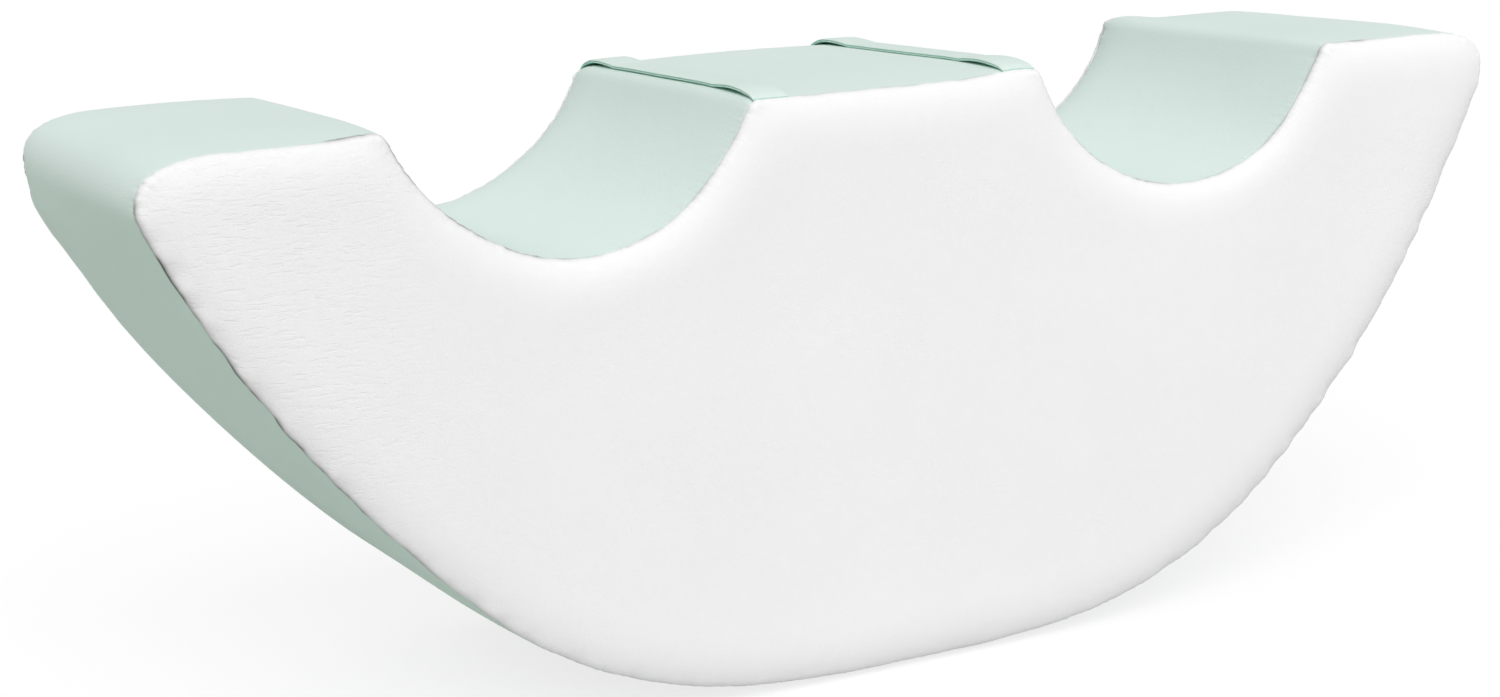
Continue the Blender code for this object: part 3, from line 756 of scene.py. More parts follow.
class SeamRing:
    """The front seam as closely spaced stations, shared by every piece that is sewn along it."""

    def __init__(self):
        corners, self.face_y = seam_corners()
        seam = split_flats(corners)
        fine = np.linspace(0.0, len(seam), SEAM_SAMPLES)
        line = on_ring(seam, fine)
        steps = np.linalg.norm(np.diff(line, axis=0), axis=1)
        fine_along = np.concatenate(([0.0], np.cumsum(steps)))
        self.length = fine_along[-1]
        self.joins = self.find_joins(line, fine_along)
        even = np.arange(round(self.length / STATION_SPACING)) * STATION_SPACING
        clear = np.ones(len(even), bool)
        for join in self.joins:
            clear &= np.abs(even - join) > STATION_SPACING
        extra = [join + side * step for join in self.joins for side in (-1, 1) for step in JOIN_STATIONS]
        self.along = np.sort(np.concatenate((even[clear], extra)))
        self.places = np.interp(self.along, fine_along, fine)
        self.count = len(self.along)
        self.line = on_ring(seam, self.places)
        ahead = np.roll(self.line, -1, axis=0)
        behind = np.roll(self.line, 1, axis=0)
        tangent = unit(ahead - behind)
        self.outward = np.stack((tangent[:, 2], np.zeros(self.count), -tangent[:, 0]), axis=1)
        turn = np.linalg.norm(np.roll(tangent, -1, axis=0) - np.roll(tangent, 1, axis=0), axis=1)
        bend = turn / np.maximum(np.linalg.norm(ahead - behind, axis=1), NO_LENGTH)
        overlap = BEND_STATIONS // 2
        closed_bend = np.concatenate((bend[-overlap:], bend, bend[:overlap]))
        self.bend = np.convolve(closed_bend, np.ones(BEND_STATIONS) / BEND_STATIONS, mode="valid")

    def find_joins(self, line, fine_along):
        """Distances along the seam at which the rim's lengths meet, from the CAD boxes."""
        base_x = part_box("rim_base_panel")[1].x
        hump_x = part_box("rim_hump_panel")[1].x
        middle_z = line[:, 2].max() / 2
        joins = []
        for x, high in ((base_x, False), (hump_x, True), (-hump_x, True), (-base_x, False)):
            away = np.abs(line[:, 0] - x)
            away[(line[:, 2] > middle_z) != high] = math.inf
            joins.append(fine_along[int(np.argmin(away))])
        return joins

    def ripple(self, seed, shortest, longest, waves=9):
        """A wave along the closed seam, about 1 high, of sines with whole numbers of turns."""
        draws = random.Random(seed)
        total = np.zeros(self.count)
        for _ in range(waves):
            period = shortest * (longest / shortest) ** draws.random()
            turns = max(1, round(self.length / period))
            total += np.sin(2 * math.pi * turns * self.along / self.length + draws.uniform(0, 2 * math.pi))
        return total / math.sqrt(waves)


SEAM = SeamRing()
SEAM_FROM_MIDDLE = np.abs(SEAM.line[:, 0])
SEAM_HEIGHT = SEAM.line[:, 2]
SEAM_Y = -SEAM.line[0][1]
FACE_Y = SEAM.face_y
RIM_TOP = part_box("rim_hump_panel")[1].z
SEAM_DRAW = RIM_TOP - SEAM_HEIGHT.max()
RIM_EDGE_Y = -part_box("rim_hump_panel")[0].y
STRAP_BOXES = [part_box("strap_left"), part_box("strap_right")]


def calm_near_straps(fade):
    """0 where a strap crosses the seam and 1 away from it, station by station."""
    calm = np.ones(SEAM.count)
    on_hump = SEAM_HEIGHT > RIM_TOP - NEAR_TOP
    for low, high in STRAP_BOXES:
        outside = np.maximum(low.x - SEAM.line[:, 0], SEAM.line[:, 0] - high.x)
        share = np.clip(outside / fade, 0.0, 1.0)
        calm = np.where(on_hump, np.minimum(calm, share), calm)
    return calm


CALM = calm_near_straps(CALM_BESIDE_STRAP)
UNDER_STRAP = 1 - calm_near_straps(SUNK_BESIDE_STRAP)
PULL = PULL_LEAST + np.minimum(PULL_MOST_MORE, SEAM.bend * PULL_PER_BEND)
ON_FLANK = np.clip((SEAM_FROM_MIDDLE - FLANK_PAST_X) / FLANK_X_FADE, 0.0, 1.0)
ON_FLANK *= np.clip((RIM_TOP - FLANK_BELOW_TOP - SEAM_HEIGHT) / FLANK_TOP_FADE, 0.0, 1.0)
IN_DIP = np.clip((SEAM_HEIGHT - DIP_ABOVE_Z) / DIP_Z_FADE, 0.0, 1.0)
IN_DIP *= np.clip(DIP_TO_X - SEAM_FROM_MIDDLE, 0.0, DIP_X_FADE) / DIP_X_FADE
ON_FLANK *= 1 - IN_DIP


def line_level():
    """How dark the seam's line of painted shade shows, station by station, before it is broken up."""
    deck_ends = np.exp(-((SEAM_FROM_MIDDLE - DECK_END_X) / DECK_END_REACH) ** 2)
    deck_ends = deck_ends * (SEAM_HEIGHT > DECK_ABOVE_Z)
    high = np.clip((SEAM_HEIGHT - LINE_HIGH_FROM) / LINE_HIGH_FADE, 0.0, 1.0)
    tips = np.exp(-((SEAM_HEIGHT - TIP_Z) / TIP_REACH) ** 2) * (SEAM_FROM_MIDDLE > TIP_PAST_X)
    in_dip = IN_DIP * (LINE_IN_DIP + LINE_ON_DIP_WALL * np.clip(SEAM.outward[:, 0], 0.0, 1.0))
    on_flank = (LINE_ON_FLANK + LINE_HIGH_ON_FLANK * high) * ON_FLANK
    return LINE_ALL_ROUND + on_flank + in_dip + LINE_AT_DECK_END * deck_ends + LINE_AT_TIP * tips


def lump_moves(x, z, depth):
    """Moves along X and up at places on the profile; depth runs from -1, in front, to 1, behind."""
    front_share = depth * (depth - 1) / 2
    middle_share = 1 - depth * depth
    back_share = depth * (depth + 1) / 2
    along = 0.0 * x
    up = 0.0 * x
    for place, reach, front, middle, back in LUMPS:
        near = np.exp(-((x - place[0]) ** 2 + (z - place[1]) ** 2) / reach ** 2)
        along = along + near * (front[0] * front_share + middle[0] * middle_share + back[0] * back_share)
        up = up + near * (front[1] * front_share + middle[1] * middle_share + back[1] * back_share)
    return along, up


def lumpy_seam(depth):
    """The seam's line moved by the lumps at a depth."""
    along, up = lump_moves(SEAM.line[:, 0], SEAM.line[:, 2], depth)
    return SEAM.line + np.stack((along, 0.0 * along, up), axis=1)


class SideMoves:
    """How sewing moves the cover along the front or back seam; both pieces of a seam share it."""

    def __init__(self, seed, depth):
        self.line = lumpy_seam(depth)
        lively = WOBBLE_LEAST + WOBBLE_ON_FLANK * ON_FLANK
        self.out = SEAM.ripple(seed, *WOBBLE_WAVES) * WOBBLE_OUT * CALM * lively
        self.aside = SEAM.ripple(seed + 1, *WOBBLE_WAVES) * WOBBLE_ASIDE * CALM * lively
        self.panel_pucker = SEAM.ripple(seed + 2, *PUCKER_WAVES) * PUCKER * PULL
        self.rim_pucker = SEAM.ripple(seed + 3, *PUCKER_WAVES) * PUCKER * PULL * CALM
        broken = np.clip(LINE_MEAN + LINE_SWING * SEAM.ripple(seed + 4, *LINE_WAVES), LINE_LEAST, 1.0)
        self.shade = line_level() * broken * CALM


FRONT_MOVES = SideMoves(seed=11, depth=-1.0)
BACK_MOVES = SideMoves(seed=31, depth=1.0)


def row_distances(rows):
    """Distance of each grid point from the first row, measured across the rows."""
    steps = np.linalg.norm(np.diff(rows, axis=0), axis=2)
    return np.concatenate((np.zeros((1, rows.shape[1])), np.cumsum(steps, axis=0)))


def grid_normals(rows):
    """Unit normals of a grid of rows of stations round the seam, by its two directions."""
    along = np.roll(rows, -1, axis=1) - np.roll(rows, 1, axis=1)
    return unit(np.cross(along, np.gradient(rows, axis=0)))


def near_seam_moves(rows, moves, pucker):
    """Moves of a sewn edge: shared wobble, its own puckers and the groove of the seam."""
    away = row_distances(rows)
    fade = np.exp(-((away / WOBBLE_FADE) ** 2))[:, :, None]
    shared = SEAM.outward * moves.out[:, None] + np.array((0.0, 1.0, 0.0)) * moves.aside[:, None]
    normals = grid_normals(rows)
    swell = (away / PUCKER_REACH) * np.exp(1 - away / PUCKER_REACH)
    tuck = GROOVE_DEPTH * np.exp(-((away / GROOVE_REACH) ** 2))
    moved = rows + shared[None] * fade
    moved = moved + normals * (pucker[None] * swell)[:, :, None]
    return moved - SEAM.outward[None] * tuck[:, :, None]


def cloth_noise(point, scale, seed):
    return noise.noise(Vector(point) * scale + Vector((seed, NOISE_SHIFT * seed, -seed)))


def swell_at(point, swells, seed=0.0):
    """Slow and finer swells together at a point."""
    return sum(share * cloth_noise(point, scale, seed + own) for scale, own, share in swells)


class SoftDistance:
    """Distance of places (x, z) from a closed line, rounded off where two stretches are near alike."""

    def __init__(self, line):
        self.line = line[:, (0, 2)]
        ahead = np.linalg.norm(np.roll(self.line, -1, axis=0) - self.line, axis=1)
        behind = np.linalg.norm(np.roll(self.line, 1, axis=0) - self.line, axis=1)
        self.share = (ahead + behind) / 2
        self.table = np.linspace(0.0, BLUR_REACH, BLUR_STEPS)
        side = np.linspace(-BLUR_LINE_REACH, BLUR_LINE_REACH, BLUR_LINE_STEPS)
        reach = np.hypot(self.table[:, None], side[None])
        self.straight = -np.log(np.exp(-reach / CORNER_BLUR).sum(axis=1) * (side[1] - side[0]))

    def __call__(self, places):
        exact = np.zeros(len(places))
        rounded = np.zeros(len(places))
        for first in range(0, len(places), BATCH):
            batch = slice(first, first + BATCH)
            part = places[batch]
            reach = np.hypot(*(part[:, None, axis] - self.line[None, :, axis] for axis in (0, 1)))
            exact[batch] = reach.min(axis=1)
            level = -np.log((np.exp(-reach / CORNER_BLUR) * self.share).sum(axis=1))
            rounded[batch] = np.interp(level, self.straight, self.table)
        mix = np.clip((exact - CORNER_BLUR_FROM) / (CORNER_BLUR_TO - CORNER_BLUR_FROM), 0.0, 1.0)
        mix = mix * mix * (3 - 2 * mix)
        return exact, exact + (rounded - exact) * mix


def crown_out(distance):
    """How far a side stands out at a distance in from its seam, as a share of its full crown."""
    left = np.clip(1 - distance / SIDE_ROUNDING, 0.0, 1.0)
    return (1 - left ** (2 / CROWN_POWER)) ** (CROWN_POWER / 2)


def crown_rows(moves, distance_to_seam):
    """Rows of points over the edge of a side, on the front, with the sewing's moves."""
    rows = []
    for inset in PANEL_ROWS:
        row = moves.line - SEAM.outward * inset
        rounded = distance_to_seam(row[:, (0, 2)])[1] if inset > CORNER_BLUR_FROM else inset
        row[:, 1] = -SEAM_Y - (FACE_Y - SEAM_Y) * crown_out(rounded)
        rows.append(row)
    rows = np.stack(rows)
    return near_seam_moves(rows, moves, moves.panel_pucker), row_distances(rows)


def inside_outline(points, outline):
    """Which of the points lie inside a closed outline, by crossings to their right."""
    inside = np.zeros(len(points), bool)
    ahead = np.roll(outline, -1, axis=0)
    for (x1, z1), (x2, z2) in zip(outline, ahead):
        crosses = (z1 > points[:, 1]) != (z2 > points[:, 1])
        if not crosses.any():
            continue
        reach = x1 + (points[:, 1] - z1) * (x2 - x1) / (z2 - z1)
        inside ^= crosses & (points[:, 0] < reach)
    return inside


def fill_points(outline):
    """Evenly spread points inside an outline."""
    low = outline.min(axis=0)
    high = outline.max(axis=0)
    columns = int((high[0] - low[0]) / FILL_PITCH) + 2
    lines = int((high[1] - low[1]) / (FILL_PITCH * FILL_LINE_SHARE)) + 2
    spots = []
    for line in range(lines):
        for column in range(columns):
            x = low[0] + (column + 0.5 * (line % 2)) * FILL_PITCH
            spots.append((x, low[1] + line * FILL_PITCH * FILL_LINE_SHARE))
    spots = np.array(spots)
    return spots[inside_outline(spots, outline)]


def panel_swell(x, z, seed, calm_z=None):
    """How far the flat of a side stands out or in at a place, by the foam behind it."""
    swell = swell_at((x, 0.0, z), PANEL_SWELLS, seed) * PANEL_SWELL
    if calm_z is None:
        return swell
    from_zip = abs(z - calm_z) - ZIP_CALM_WIDTH
    return swell * min(1.0, max(0.0, from_zip / ZIP_CALM_FADE))


class CoverMesh:
    """A cover under way: a bmesh with its seam map and how dark the seam shows at each vertex."""

    def __init__(self, flip):
        self.bm = bmesh.new()
        self.seam_map = self.bm.loops.layers.uv.new("seam_map")
        self.shade = self.bm.verts.layers.float.new("seam_shade")
        self.flip = flip

    def add_row(self, points, darkness):
        """A row of vertices along the seam."""
        row = []
        for point, dark in zip(points, darkness):
            vert = self.bm.verts.new(point)
            vert[self.shade] = dark
            row.append(vert)
        return row

    def add_face(self, corners):
        """A face from (vertex, seam map place) pairs."""
        ordered = corners[::-1] if self.flip else corners
        face = self.bm.faces.new([vert for vert, place in ordered])
        for loop, (vert, place) in zip(face.loops, ordered):
            loop[self.seam_map].uv = place
        face.smooth = True

    def fill_rows(self, rows, along, away):
        """Faces between rows, from each station to the next, each corner at its place along and away."""
        for index in range(len(along) - 1):
            after = (index + 1) % len(rows[0])
            sides = ((index, along[index]), (after, along[index + 1]))
            for row in range(len(rows) - 1):
                near = [(rows[row][station], (u, away[row][station])) for station, u in sides]
                far = [(rows[row + 1][station], (u, away[row + 1][station])) for station, u in sides]
                self.add_face(near + far[::-1])


def side_surface(side, moves, seed, calm_z=None):
    """Open surface of a whole side as a bmesh with its seam map; side is -1 in front, 1 behind."""
    distance_to_seam = SoftDistance(moves.line)
    rows, away = crown_rows(moves, distance_to_seam)
    outline = rows[-1][:, (0, 2)]
    spots = fill_points(outline)
    exact, rounded = distance_to_seam(spots)
    clear = exact > PANEL_ROWS[-1] + FILL_PITCH / 2
    spots = spots[clear]
    exact = exact[clear]
    stands_out = crown_out(rounded[clear])
    flat = [Vector(point) for point in np.concatenate((outline, spots))]
    border = list(range(SEAM.count))
    filled = geometry.delaunay_2d_cdt(flat, [], [border], 1, WELD, True)
    verts_2d, triangles, origins = filled[0], filled[2], filled[3]
    corners_2d = np.array([point[:] for point in verts_2d])
    centres = corners_2d[np.array(triangles)].mean(axis=1)
    within = inside_outline(centres, outline)

    cover = CoverMesh(flip=side > 0)
    grid = [cover.add_row(row * (1.0, -side, 1.0), moves.shade) for row in rows]
    cover.fill_rows(grid, np.append(SEAM.along, SEAM.length + SEAM.along[0]), away)
    middle = []
    for (x, z), source in zip(verts_2d, origins):
        on_border = [origin for origin in source if origin < SEAM.count]
        if on_border:
            middle.append(grid[-1][on_border[0]])
            continue
        spot = source[0] - SEAM.count
        settled = min(1.0, max(0.0, (exact[spot] - PANEL_ROWS[-1]) / PANEL_SWELL_FADE))
        out = SEAM_Y + (FACE_Y - SEAM_Y) * stands_out[spot] + panel_swell(x, z, seed, calm_z) * settled
        middle.append(cover.bm.verts.new((x, side * out, z)))
    past_seam = float(away[-1].max()) + PAST_SEAM
    for triangle, belongs in zip(triangles, within):
        if belongs:
            spots_3d = [middle[corner] for corner in triangle]
            cover.add_face([(vert, (vert.co.x, past_seam)) for vert in spots_3d])
    return cover.bm


def surface_area(bm):
    return sum(face.calc_area() for face in bm.faces)


def sew_sheet(name, bm, material):
    piece = new_piece(name, bm, material, smooth_angle=60.0)
    wall = piece.modifiers.new("leatherette_thickness", "SOLIDIFY")
    wall.thickness = SKIN
    wall.offset = -1.0
    wall.use_even_offset = False
    apply_modifiers(piece)
    return piece


def finish_piece(piece, body, slot, *replaced):
    """Ties a piece to its body and hides the CAD nodes that it takes the place of; its slot is not used."""
    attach(piece, body)
    if replaced:
        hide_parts(*replaced)


def sew_front_side():
    """The whole front side, one sheet."""
    bm = side_surface(-1, FRONT_MOVES, seed=3.1)
    area = surface_area(bm)
    panel = sew_sheet("front_side_cover", bm, WHITE)
    finish_piece(panel, "covered_block", "white_leatherette", "side_panel_front")


def make_foam_block():
    """The foam inside, a little slack in its cover and drawn in under the rim as the rim is."""
    bm = merged_copy("foam_core")
    bmesh.ops.recalc_face_normals(bm, faces=bm.faces)
    for depth in FOAM_CUTS:
        cut(bm, (0.0, depth, 0.0), (0.0, 1.0, 0.0))
    bm.normal_update()
    for vert in bm.verts:
        around = Vector((vert.normal.x, 0.0, vert.normal.z))
        distance = vert.co.y + RIM_EDGE_Y
        if abs(vert.co.y) < SEAM_Y - WELD and around.length > FOAM_FACES_ROUND:
            from_back = 2 * RIM_EDGE_Y - distance
            modelled = max(0.0, 1 - distance / CAD_ROLL) ** 2 + max(0.0, 1 - from_back / CAD_ROLL) ** 2
            vert.co -= around.normalized() * (rim_inset(distance) - SEAM_DRAW * modelled)
        from_seam = (abs(vert.co.y) - SEAM_Y) / FOAM_EDGE_REACH
        vert.co -= vert.normal * (FOAM_SLACK + FOAM_EDGE_SLACK * math.exp(-from_seam * from_seam))
        depth = max(-1.0, min(1.0, vert.co.y / SEAM_Y))
        along, up = lump_moves(vert.co.x, vert.co.z, depth)
        vert.co.x += along
        vert.co.z += up
    block = new_piece("foam_block", bm, FOAM, smooth_angle=30.0)
    finish_piece(block, "covered_block", "foam", "foam_core")


def rim_inset(distance):
    """How far the rim is drawn in at a distance from the front seam; it is full in the middle."""
    from_back = 2 * RIM_EDGE_Y - distance
    front = max(0.0, 1 - distance / RIM_ROLL_FRONT) ** 2
    back = max(0.0, 1 - from_back / RIM_ROLL_BACK) ** 2
    return SEAM_DRAW * (front + back)


def rim_grid():
    """Rows of points across the whole rim, from the front seam to the back one."""
    half = list(RIM_ROWS)
    middle = RIM_EDGE_Y
    distances = np.array(half + [middle] + [2 * middle - value for value in reversed(half)])
    away = np.minimum(distances, 2 * middle - distances)
    rows = []
    for distance, from_end in zip(distances, away):
        row = lumpy_seam(distance / middle - 1) + SEAM.outward * (SEAM_DRAW - rim_inset(distance))
        row[:, 2] -= STRAP_SUNK * UNDER_STRAP * max(0.0, 1 - from_end / STRAP_SUNK_LENGTH) ** 2
        row[:, 1] = distance - middle
        rows.append(row)
    rows = np.stack(rows)
    front_half = near_seam_moves(rows, FRONT_MOVES, FRONT_MOVES.rim_pucker)
    mirror = np.array((1.0, -1.0, 1.0))
    mirrored = near_seam_moves(rows[::-1] * mirror, BACK_MOVES, BACK_MOVES.rim_pucker)[::-1] * mirror
    moved = np.where((distances > middle)[:, None, None], mirrored, front_half)
    swollen = np.clip((away - RIM_SWELL_FROM) / RIM_SWELL_FADE, 0.0, 1.0)
    for number, share in enumerate(swollen):
        if share <= 0:
            continue
        for index in range(SEAM.count):
            swell = swell_at(rows[number][index], RIM_SWELLS)
            moved[number][index] += SEAM.outward[index] * (swell * RIM_SWELL * share * CALM[index])
    return moved, away


def sew_rim():
    """Four lengths of the rim strip, each turned in where it meets the next."""
    rows, away = rim_grid()
    around = np.concatenate((SEAM.along, SEAM.along + SEAM.length))
    ends = SEAM.joins + [SEAM.joins[0] + SEAM.length]
    for place, first, last in zip(("right", "hump", "left", "base"), ends, ends[1:]):
        chosen = np.nonzero((around > first) & (around < last))[0]
        along = around[chosen]
        stations = chosen % SEAM.count
        from_end = np.minimum(along - first, last - along)
        tuck = JOIN_TUCK * np.exp(-((from_end / JOIN_TUCK_REACH) ** 2))
        cover = CoverMesh(flip=True)
        grid = []
        for row in rows:
            points = row[stations] - SEAM.outward[stations] * tuck[:, None]
            moves = FRONT_MOVES if row[0][1] < 0 else BACK_MOVES
            grid.append(cover.add_row(points, moves.shade[stations]))
        cover.fill_rows(grid, along, np.repeat(away[:, None], len(stations), axis=1))
        area = surface_area(cover.bm)
        name = "rim_" + place + "_cover"
        piece = sew_sheet(name, cover.bm, MINT)
        finish_piece(piece, "covered_block", "mint_leatherette", "rim_" + place + "_panel")


# Straps

def strap_section():
    """Section of a folded strap as (across, up) pairs: two layers with round edges and a groove between."""
    fold = STRAP_FOLD_RADIUS
    half = (STRAP_BOXES[0][1].x - STRAP_BOXES[0][0].x) / 2
    edge = []
    for step in range(STRAP_EDGE_STEPS + 1):
        angle = math.pi * (step / STRAP_EDGE_STEPS - 0.5)
        edge.append((half - fold + fold * math.cos(angle), (1 + math.sin(angle)) / 4))
    flat = half - fold
    top = [(flat * (1 - 2 * step / STRAP_TOP_STEPS), 0.5) for step in range(1, STRAP_TOP_STEPS)]
    upper = edge + top + [(-x, z) for x, z in reversed(edge)]
    lower = [(x, -z) for x, z in reversed(upper[1:-1])]
    return upper + lower, half


def strap_height(distance):
    """Height of a strap's underside over the top of the hump, at a distance from the front seam."""
    from_end = min(distance, 2 * RIM_EDGE_Y - distance)
    lift = 0.0
    if from_end < STRAP_LIFT_LENGTH:
        lift = STRAP_LIFT * math.sin(math.pi * from_end / STRAP_LIFT_LENGTH)
    sunk = STRAP_SUNK * max(0.0, 1 - from_end / STRAP_SUNK_LENGTH) ** 2
    return GAP + lift - sunk - rim_inset(distance)


def sew_strap(name, node, seed):
    """A grab strap over the hump: folded double, flat in the middle, standing off near its ends."""
    low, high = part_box(node)
    centre = (low.x + high.x) / 2
    section, half = strap_section()
    end_y = RIM_EDGE_Y
    bm = bmesh.new()
    seam_map = bm.loops.layers.uv.new("seam_map")
    grid = []
    for row in range(STRAP_ROWS + 1):
        y = -end_y + 2 * end_y * row / STRAP_ROWS
        from_end = end_y - abs(y)
        grow = min(1.0, from_end / STRAP_THIN_LENGTH)
        thick = STRAP_END_THICK + (STRAP_THICK - STRAP_END_THICK) * grow
        base = RIM_TOP + strap_height(y + end_y) + thick / 2
        aside = STRAP_SWAY * cloth_noise((0.0, y, 0.0), STRAP_SWAY_SCALE, seed)
        points = []
        for x, z in section:
            inner = 1 - (x / half) ** 2
            puff = STRAP_PUFF * max(0.0, inner) * grow if z > 0 else 0.0
            wave = STRAP_WAVE * cloth_noise((x, y, 0.0), STRAP_WAVE_SCALE, seed + 3) * grow
            along, up = lump_moves(centre + x, RIM_TOP, y / SEAM_Y)
            place = (centre + x + aside + along, y, base + z * thick + puff + wave + up)
            points.append(bm.verts.new(place))
        grid.append(points)
    count = len(section)
    for lower, upper in zip(grid, grid[1:]):
        for index in range(count):
            after = (index + 1) % count
            face = bm.faces.new((lower[index], upper[index], upper[after], lower[after]))
            face.smooth = True
            for loop in face.loops:
                loop[seam_map].uv = (loop.vert.co.x, end_y - abs(loop.vert.co.y))
    bm.faces.new(grid[0])
    bm.faces.new(list(reversed(grid[-1])))
    bmesh.ops.recalc_face_normals(bm, faces=bm.faces)
    strap = new_piece(name, bm, STRAP, smooth_angle=50.0)
    finish_piece(strap, "covered_block", "mint_leatherette", node)


# Back side, with the zip between its halves

class ZipPlace:
    """Where the zip lies, from the CAD boxes."""

    def __init__(self):
        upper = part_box("zip_coil_upper")
        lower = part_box("zip_coil_lower")
        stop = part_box("zip_bottom_stop")
        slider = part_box("zip_slider")
        self.height = (upper[0].z + lower[1].z) / 2
        self.coil_near = upper[0].z - self.height
        self.coil_far = upper[1].z - self.height
        self.coil_low_y = upper[0].y
        self.coil_high_y = upper[1].y
        self.coil_reach = upper[1].x
        self.slit_reach = stop[1].x + GAP
        self.slit_half = slider[1].z - self.height + 3 * GAP


ZIP = ZipPlace()


def cut(bm, place, normal, drop=False, near_zip=None):
    """Cuts a surface along a plane, all of it or near the zip only, and may drop what lies past it."""
    parts = {}
    for face in bm.faces:
        if near_zip is None or abs(face.calc_center_median().z - ZIP.height) < near_zip:
            parts.update(dict.fromkeys((face, *face.edges, *face.verts)))
    bmesh.ops.bisect_plane(
        bm,
        geom=list(parts),
        dist=CUT_SLACK,
        plane_co=place,
        plane_no=normal,
        clear_outer=drop,
    )


def on_slit_edge(edge, edge_z):
    """Whether an edge is an open one, along the slit's long side."""
    if len(edge.link_faces) != 1:
        return False
    level = all(abs(vert.co.z - edge_z) < ON_EDGE for vert in edge.verts)
    return level and all(abs(vert.co.x) < ZIP.slit_reach + ON_EDGE for vert in edge.verts)


def fold_hem(bm, up, edge_z):
    """Folds the slit's long edge under, round a small roll and back along the panel."""
    rim = [edge for edge in bm.edges if on_slit_edge(edge, edge_z)]
    places = []
    for step in range(1, HEM_STEPS + 1):
        angle = math.pi * step / HEM_STEPS
        places.append((-up * HEM_FOLD * math.sin(angle), HEM_FOLD * (1 - math.cos(angle))))
    places.append((up * HEM_LAP / 2, 2 * HEM_FOLD))
    places.append((up * HEM_LAP, 2 * HEM_FOLD))
    before = (0.0, 0.0)
    for place in places:
        grown = bmesh.ops.extrude_edge_only(bm, edges=rim)["geom"]
        fresh = {part for part in grown if isinstance(part, bmesh.types.BMVert)}
        for vert in fresh:
            vert.co.z += place[0] - before[0]
            vert.co.y -= place[1] - before[1]
        edges = [part for part in grown if isinstance(part, bmesh.types.BMEdge)]
        rim = [edge for edge in edges if fresh.issuperset(edge.verts)]
        before = place


def sew_back_half(name, node, up):
    """Upper or lower half of the back, with a folded hem along the zip."""
    bm = side_surface(1, BACK_MOVES, seed=6.4, calm_z=ZIP.height)
    inwards = Vector((0.0, 0.0, -up))
    cut(bm, (0.0, 0.0, ZIP.height + up * GAP / 2), inwards, drop=True)
    for step in SLIT_CUTS:
        cut(bm, (0.0, 0.0, ZIP.height + up * step), inwards, near_zip=SLIT_CUT_REACH)
    hem_z = ZIP.height + up * (ZIP.slit_half + HEM_FOLD)
    cut(bm, (0.0, 0.0, hem_z), inwards)
    for side in (-1, 1):
        endwards = Vector((side, 0.0, 0.0))
        cut(bm, (side * ZIP.slit_reach, 0.0, 0.0), endwards, near_zip=SLIT_END_REACH)
    slit = []
    for face in bm.faces:
        middle = face.calc_center_median()
        if abs(middle.x) < ZIP.slit_reach and up * (middle.z - hem_z) < 0:
            slit.append(face)
    bmesh.ops.delete(bm, geom=slit, context="FACES")
    for vert in bm.verts:
        if abs(vert.co.x) > ZIP.slit_reach - WELD:
            from_join = abs(vert.co.z - ZIP.height)
            vert.co.y -= JOIN_DENT * math.exp(-((from_join / JOIN_DENT_REACH) ** 2))
    fold_hem(bm, up, hem_z)
    area = surface_area(bm)
    panel = sew_sheet(name, bm, WHITE)
    finish_piece(panel, "covered_block", "white_leatherette", node)


def stitch_hems():
    """Two rows of stitches along each hem, one stitch modelled and repeated."""
    for up, label in ((1, "upper"), (-1, "lower")):
        for number, offset in enumerate(HEM_STITCH_ROWS):
            stitch = new_primitive(
                "hem_stitches_" + label + "_" + str(number + 1),
                bpy.ops.mesh.primitive_cylinder_add,
                vertices=6,
                radius=STITCH_THICK / 2,
                depth=STITCH_LENGTH,
                rotation=(0.0, math.pi / 2, 0.0),
            )
            bevel_all(STITCH_THICK * STITCH_EDGE, segments=1, flatness=STITCH_FLATNESS)
            for vert in stitch.data.vertices:
                vert.co.x += STITCH_PITCH - ZIP.slit_reach
                vert.co.y += FACE_Y + STITCH_THICK * STITCH_STANDS_OUT
                vert.co.z += ZIP.height + up * (ZIP.slit_half + offset)
            repeat(stitch, "row", STITCH_PITCH, int((2 * ZIP.slit_reach - STITCH_PITCH) / STITCH_PITCH))
            give_finish(stitch, THREAD, 50.0)
            finish_piece(stitch, "covered_block", "white_leatherette")


def lay_zip_tape(name, node):
    """Woven tape with eased edges, behind a hem."""
    low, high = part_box(node)
    tape = new_primitive(name, bpy.ops.mesh.primitive_cube_add, size=1.0)
    middle = (low + high) / 2
    size = high - low
    for vert in tape.data.vertices:
        vert.co = Vector(tuple(middle[axis] + vert.co[axis] * size[axis] for axis in range(3)))
    bevel_all(TAPE_EDGE, segments=2)
    give_finish(tape, TAPE, 50.0)
    finish_piece(tape, "covered_block", "zip_nylon", node)


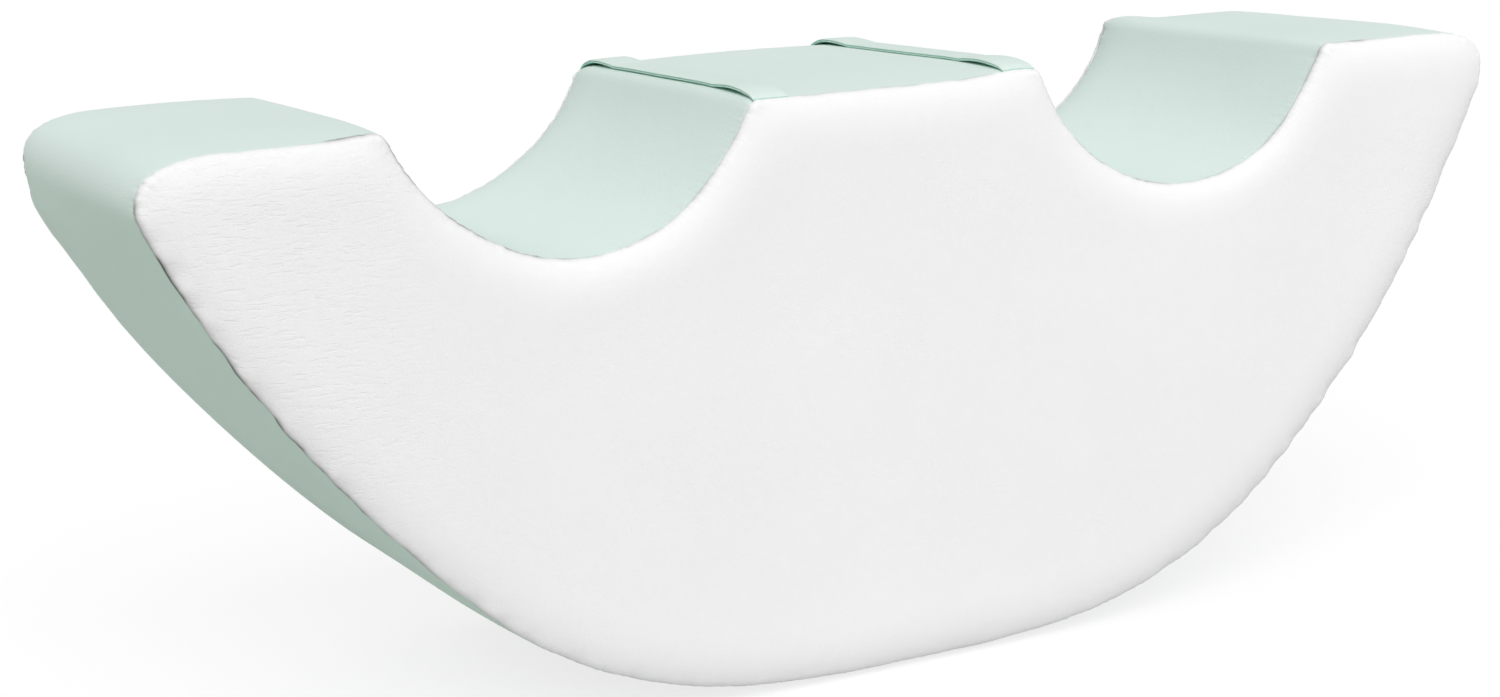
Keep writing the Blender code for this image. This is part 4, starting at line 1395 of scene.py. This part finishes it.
def wind_coil(name, node, up):
    """Half of the zip's coil: one turn of the wire, repeated along the tape."""
    coil = new_primitive(
        name,
        bpy.ops.mesh.primitive_torus_add,
        major_segments=10,
        minor_segments=5,
        major_radius=RING_RADIUS,
        minor_radius=RING_WIRE,
        rotation=(0.0, math.pi / 2, 0.0),
    )
    near = ZIP.coil_near
    far = ZIP.coil_far
    width = far - near - 2 * COIL_WIRE
    depth = ZIP.coil_high_y - ZIP.coil_low_y - 2 * COIL_WIRE
    middle_y = (ZIP.coil_high_y + ZIP.coil_low_y) / 2
    middle_z = ZIP.height + up * (near + far) / 2
    first_x = -ZIP.coil_reach + 2 * COIL_WIRE
    share = COIL_WIRE / RING_WIRE
    for vert in coil.data.vertices:
        angle = math.atan2(vert.co.y, vert.co.z)
        off_ring = math.hypot(vert.co.y, vert.co.z) - RING_RADIUS
        lean = up * math.cos(angle) * COIL_PITCH * COIL_LEAN
        x = vert.co.x * share + lean
        y = math.sin(angle) * (depth / 2 + off_ring * share)
        z = math.cos(angle) * (width / 2 + off_ring * share)
        vert.co = Vector((first_x + x, middle_y + y, middle_z + z))
    repeat(coil, "turns", COIL_PITCH, int((2 * ZIP.coil_reach - 2 * COIL_WIRE) / COIL_PITCH))
    give_finish(coil, COIL, 60.0)
    finish_piece(coil, "covered_block", "zip_nylon", node)


def soften_metal(name, node, body, width):
    """A cast piece of the zip with its edges tumbled round."""
    bm = merged_copy(node)
    bmesh.ops.dissolve_limit(bm, angle_limit=math.radians(METAL_FLAT), verts=bm.verts, edges=bm.edges)
    bmesh.ops.recalc_face_normals(bm, faces=bm.faces)
    piece = new_piece(name, bm, NICKEL, METAL_CORNER)
    soften = piece.modifiers.new("tumbled_edges", "BEVEL")
    soften.width = width
    soften.segments = 2
    soften.limit_method = "ANGLE"
    soften.angle_limit = math.radians(METAL_CORNER)
    apply_modifiers(piece)
    bpy.ops.object.shade_smooth_by_angle(angle=math.radians(METAL_CORNER))
    finish_piece(piece, body, "nickel", node)


place_camera()
light_world()
lay_floor()
hang_key_light()
hang_fill_light()

LEATHER_GRAIN = leather_grain_group()
SEAM_PRESS = seam_press_group()
WHITE = leatherette("white_leatherette_face", WHITE_COLOURS, 1.0, 1.0, groove=0.0036)
MINT = leatherette("mint_leatherette_rim", MINT_COLOURS, 0.25, 0.0, groove=0.0016)
STRAP = leatherette("mint_leatherette_strap", STRAP_COLOURS, 0.20, 0.0, groove=0.0006)
FOAM = foam_cells()
TAPE = woven_tape()
COIL = smooth_nylon("coil_nylon", (0.80, 0.80, 0.79), roughness=0.35)
THREAD = smooth_nylon("sewing_thread", (0.84, 0.84, 0.83), roughness=0.6)
NICKEL = nickel_plate()

make_foam_block()
sew_front_side()
sew_back_half("back_cover_upper", "side_panel_back_upper", up=1)
sew_back_half("back_cover_lower", "side_panel_back_lower", up=-1)
sew_rim()
sew_strap("grab_strap_left", "strap_left", seed=1.7)
sew_strap("grab_strap_right", "strap_right", seed=5.3)
stitch_hems()
lay_zip_tape("tape_upper", "zip_tape_upper")
lay_zip_tape("tape_lower", "zip_tape_lower")
wind_coil("coil_upper", "zip_coil_upper", up=1)
wind_coil("coil_lower", "zip_coil_lower", up=-1)
soften_metal("slider_body", "zip_slider", "slider", width=0.00022)
soften_metal("pull_tab", "zip_pull", "pull", width=0.00030)
for stop_node in ("zip_bottom_stop", "zip_top_stop_upper", "zip_top_stop_lower"):
    NODES[stop_node].data.materials.clear()
    NODES[stop_node].data.materials.append(NICKEL)

SCENE.view_settings.view_transform = "Standard"
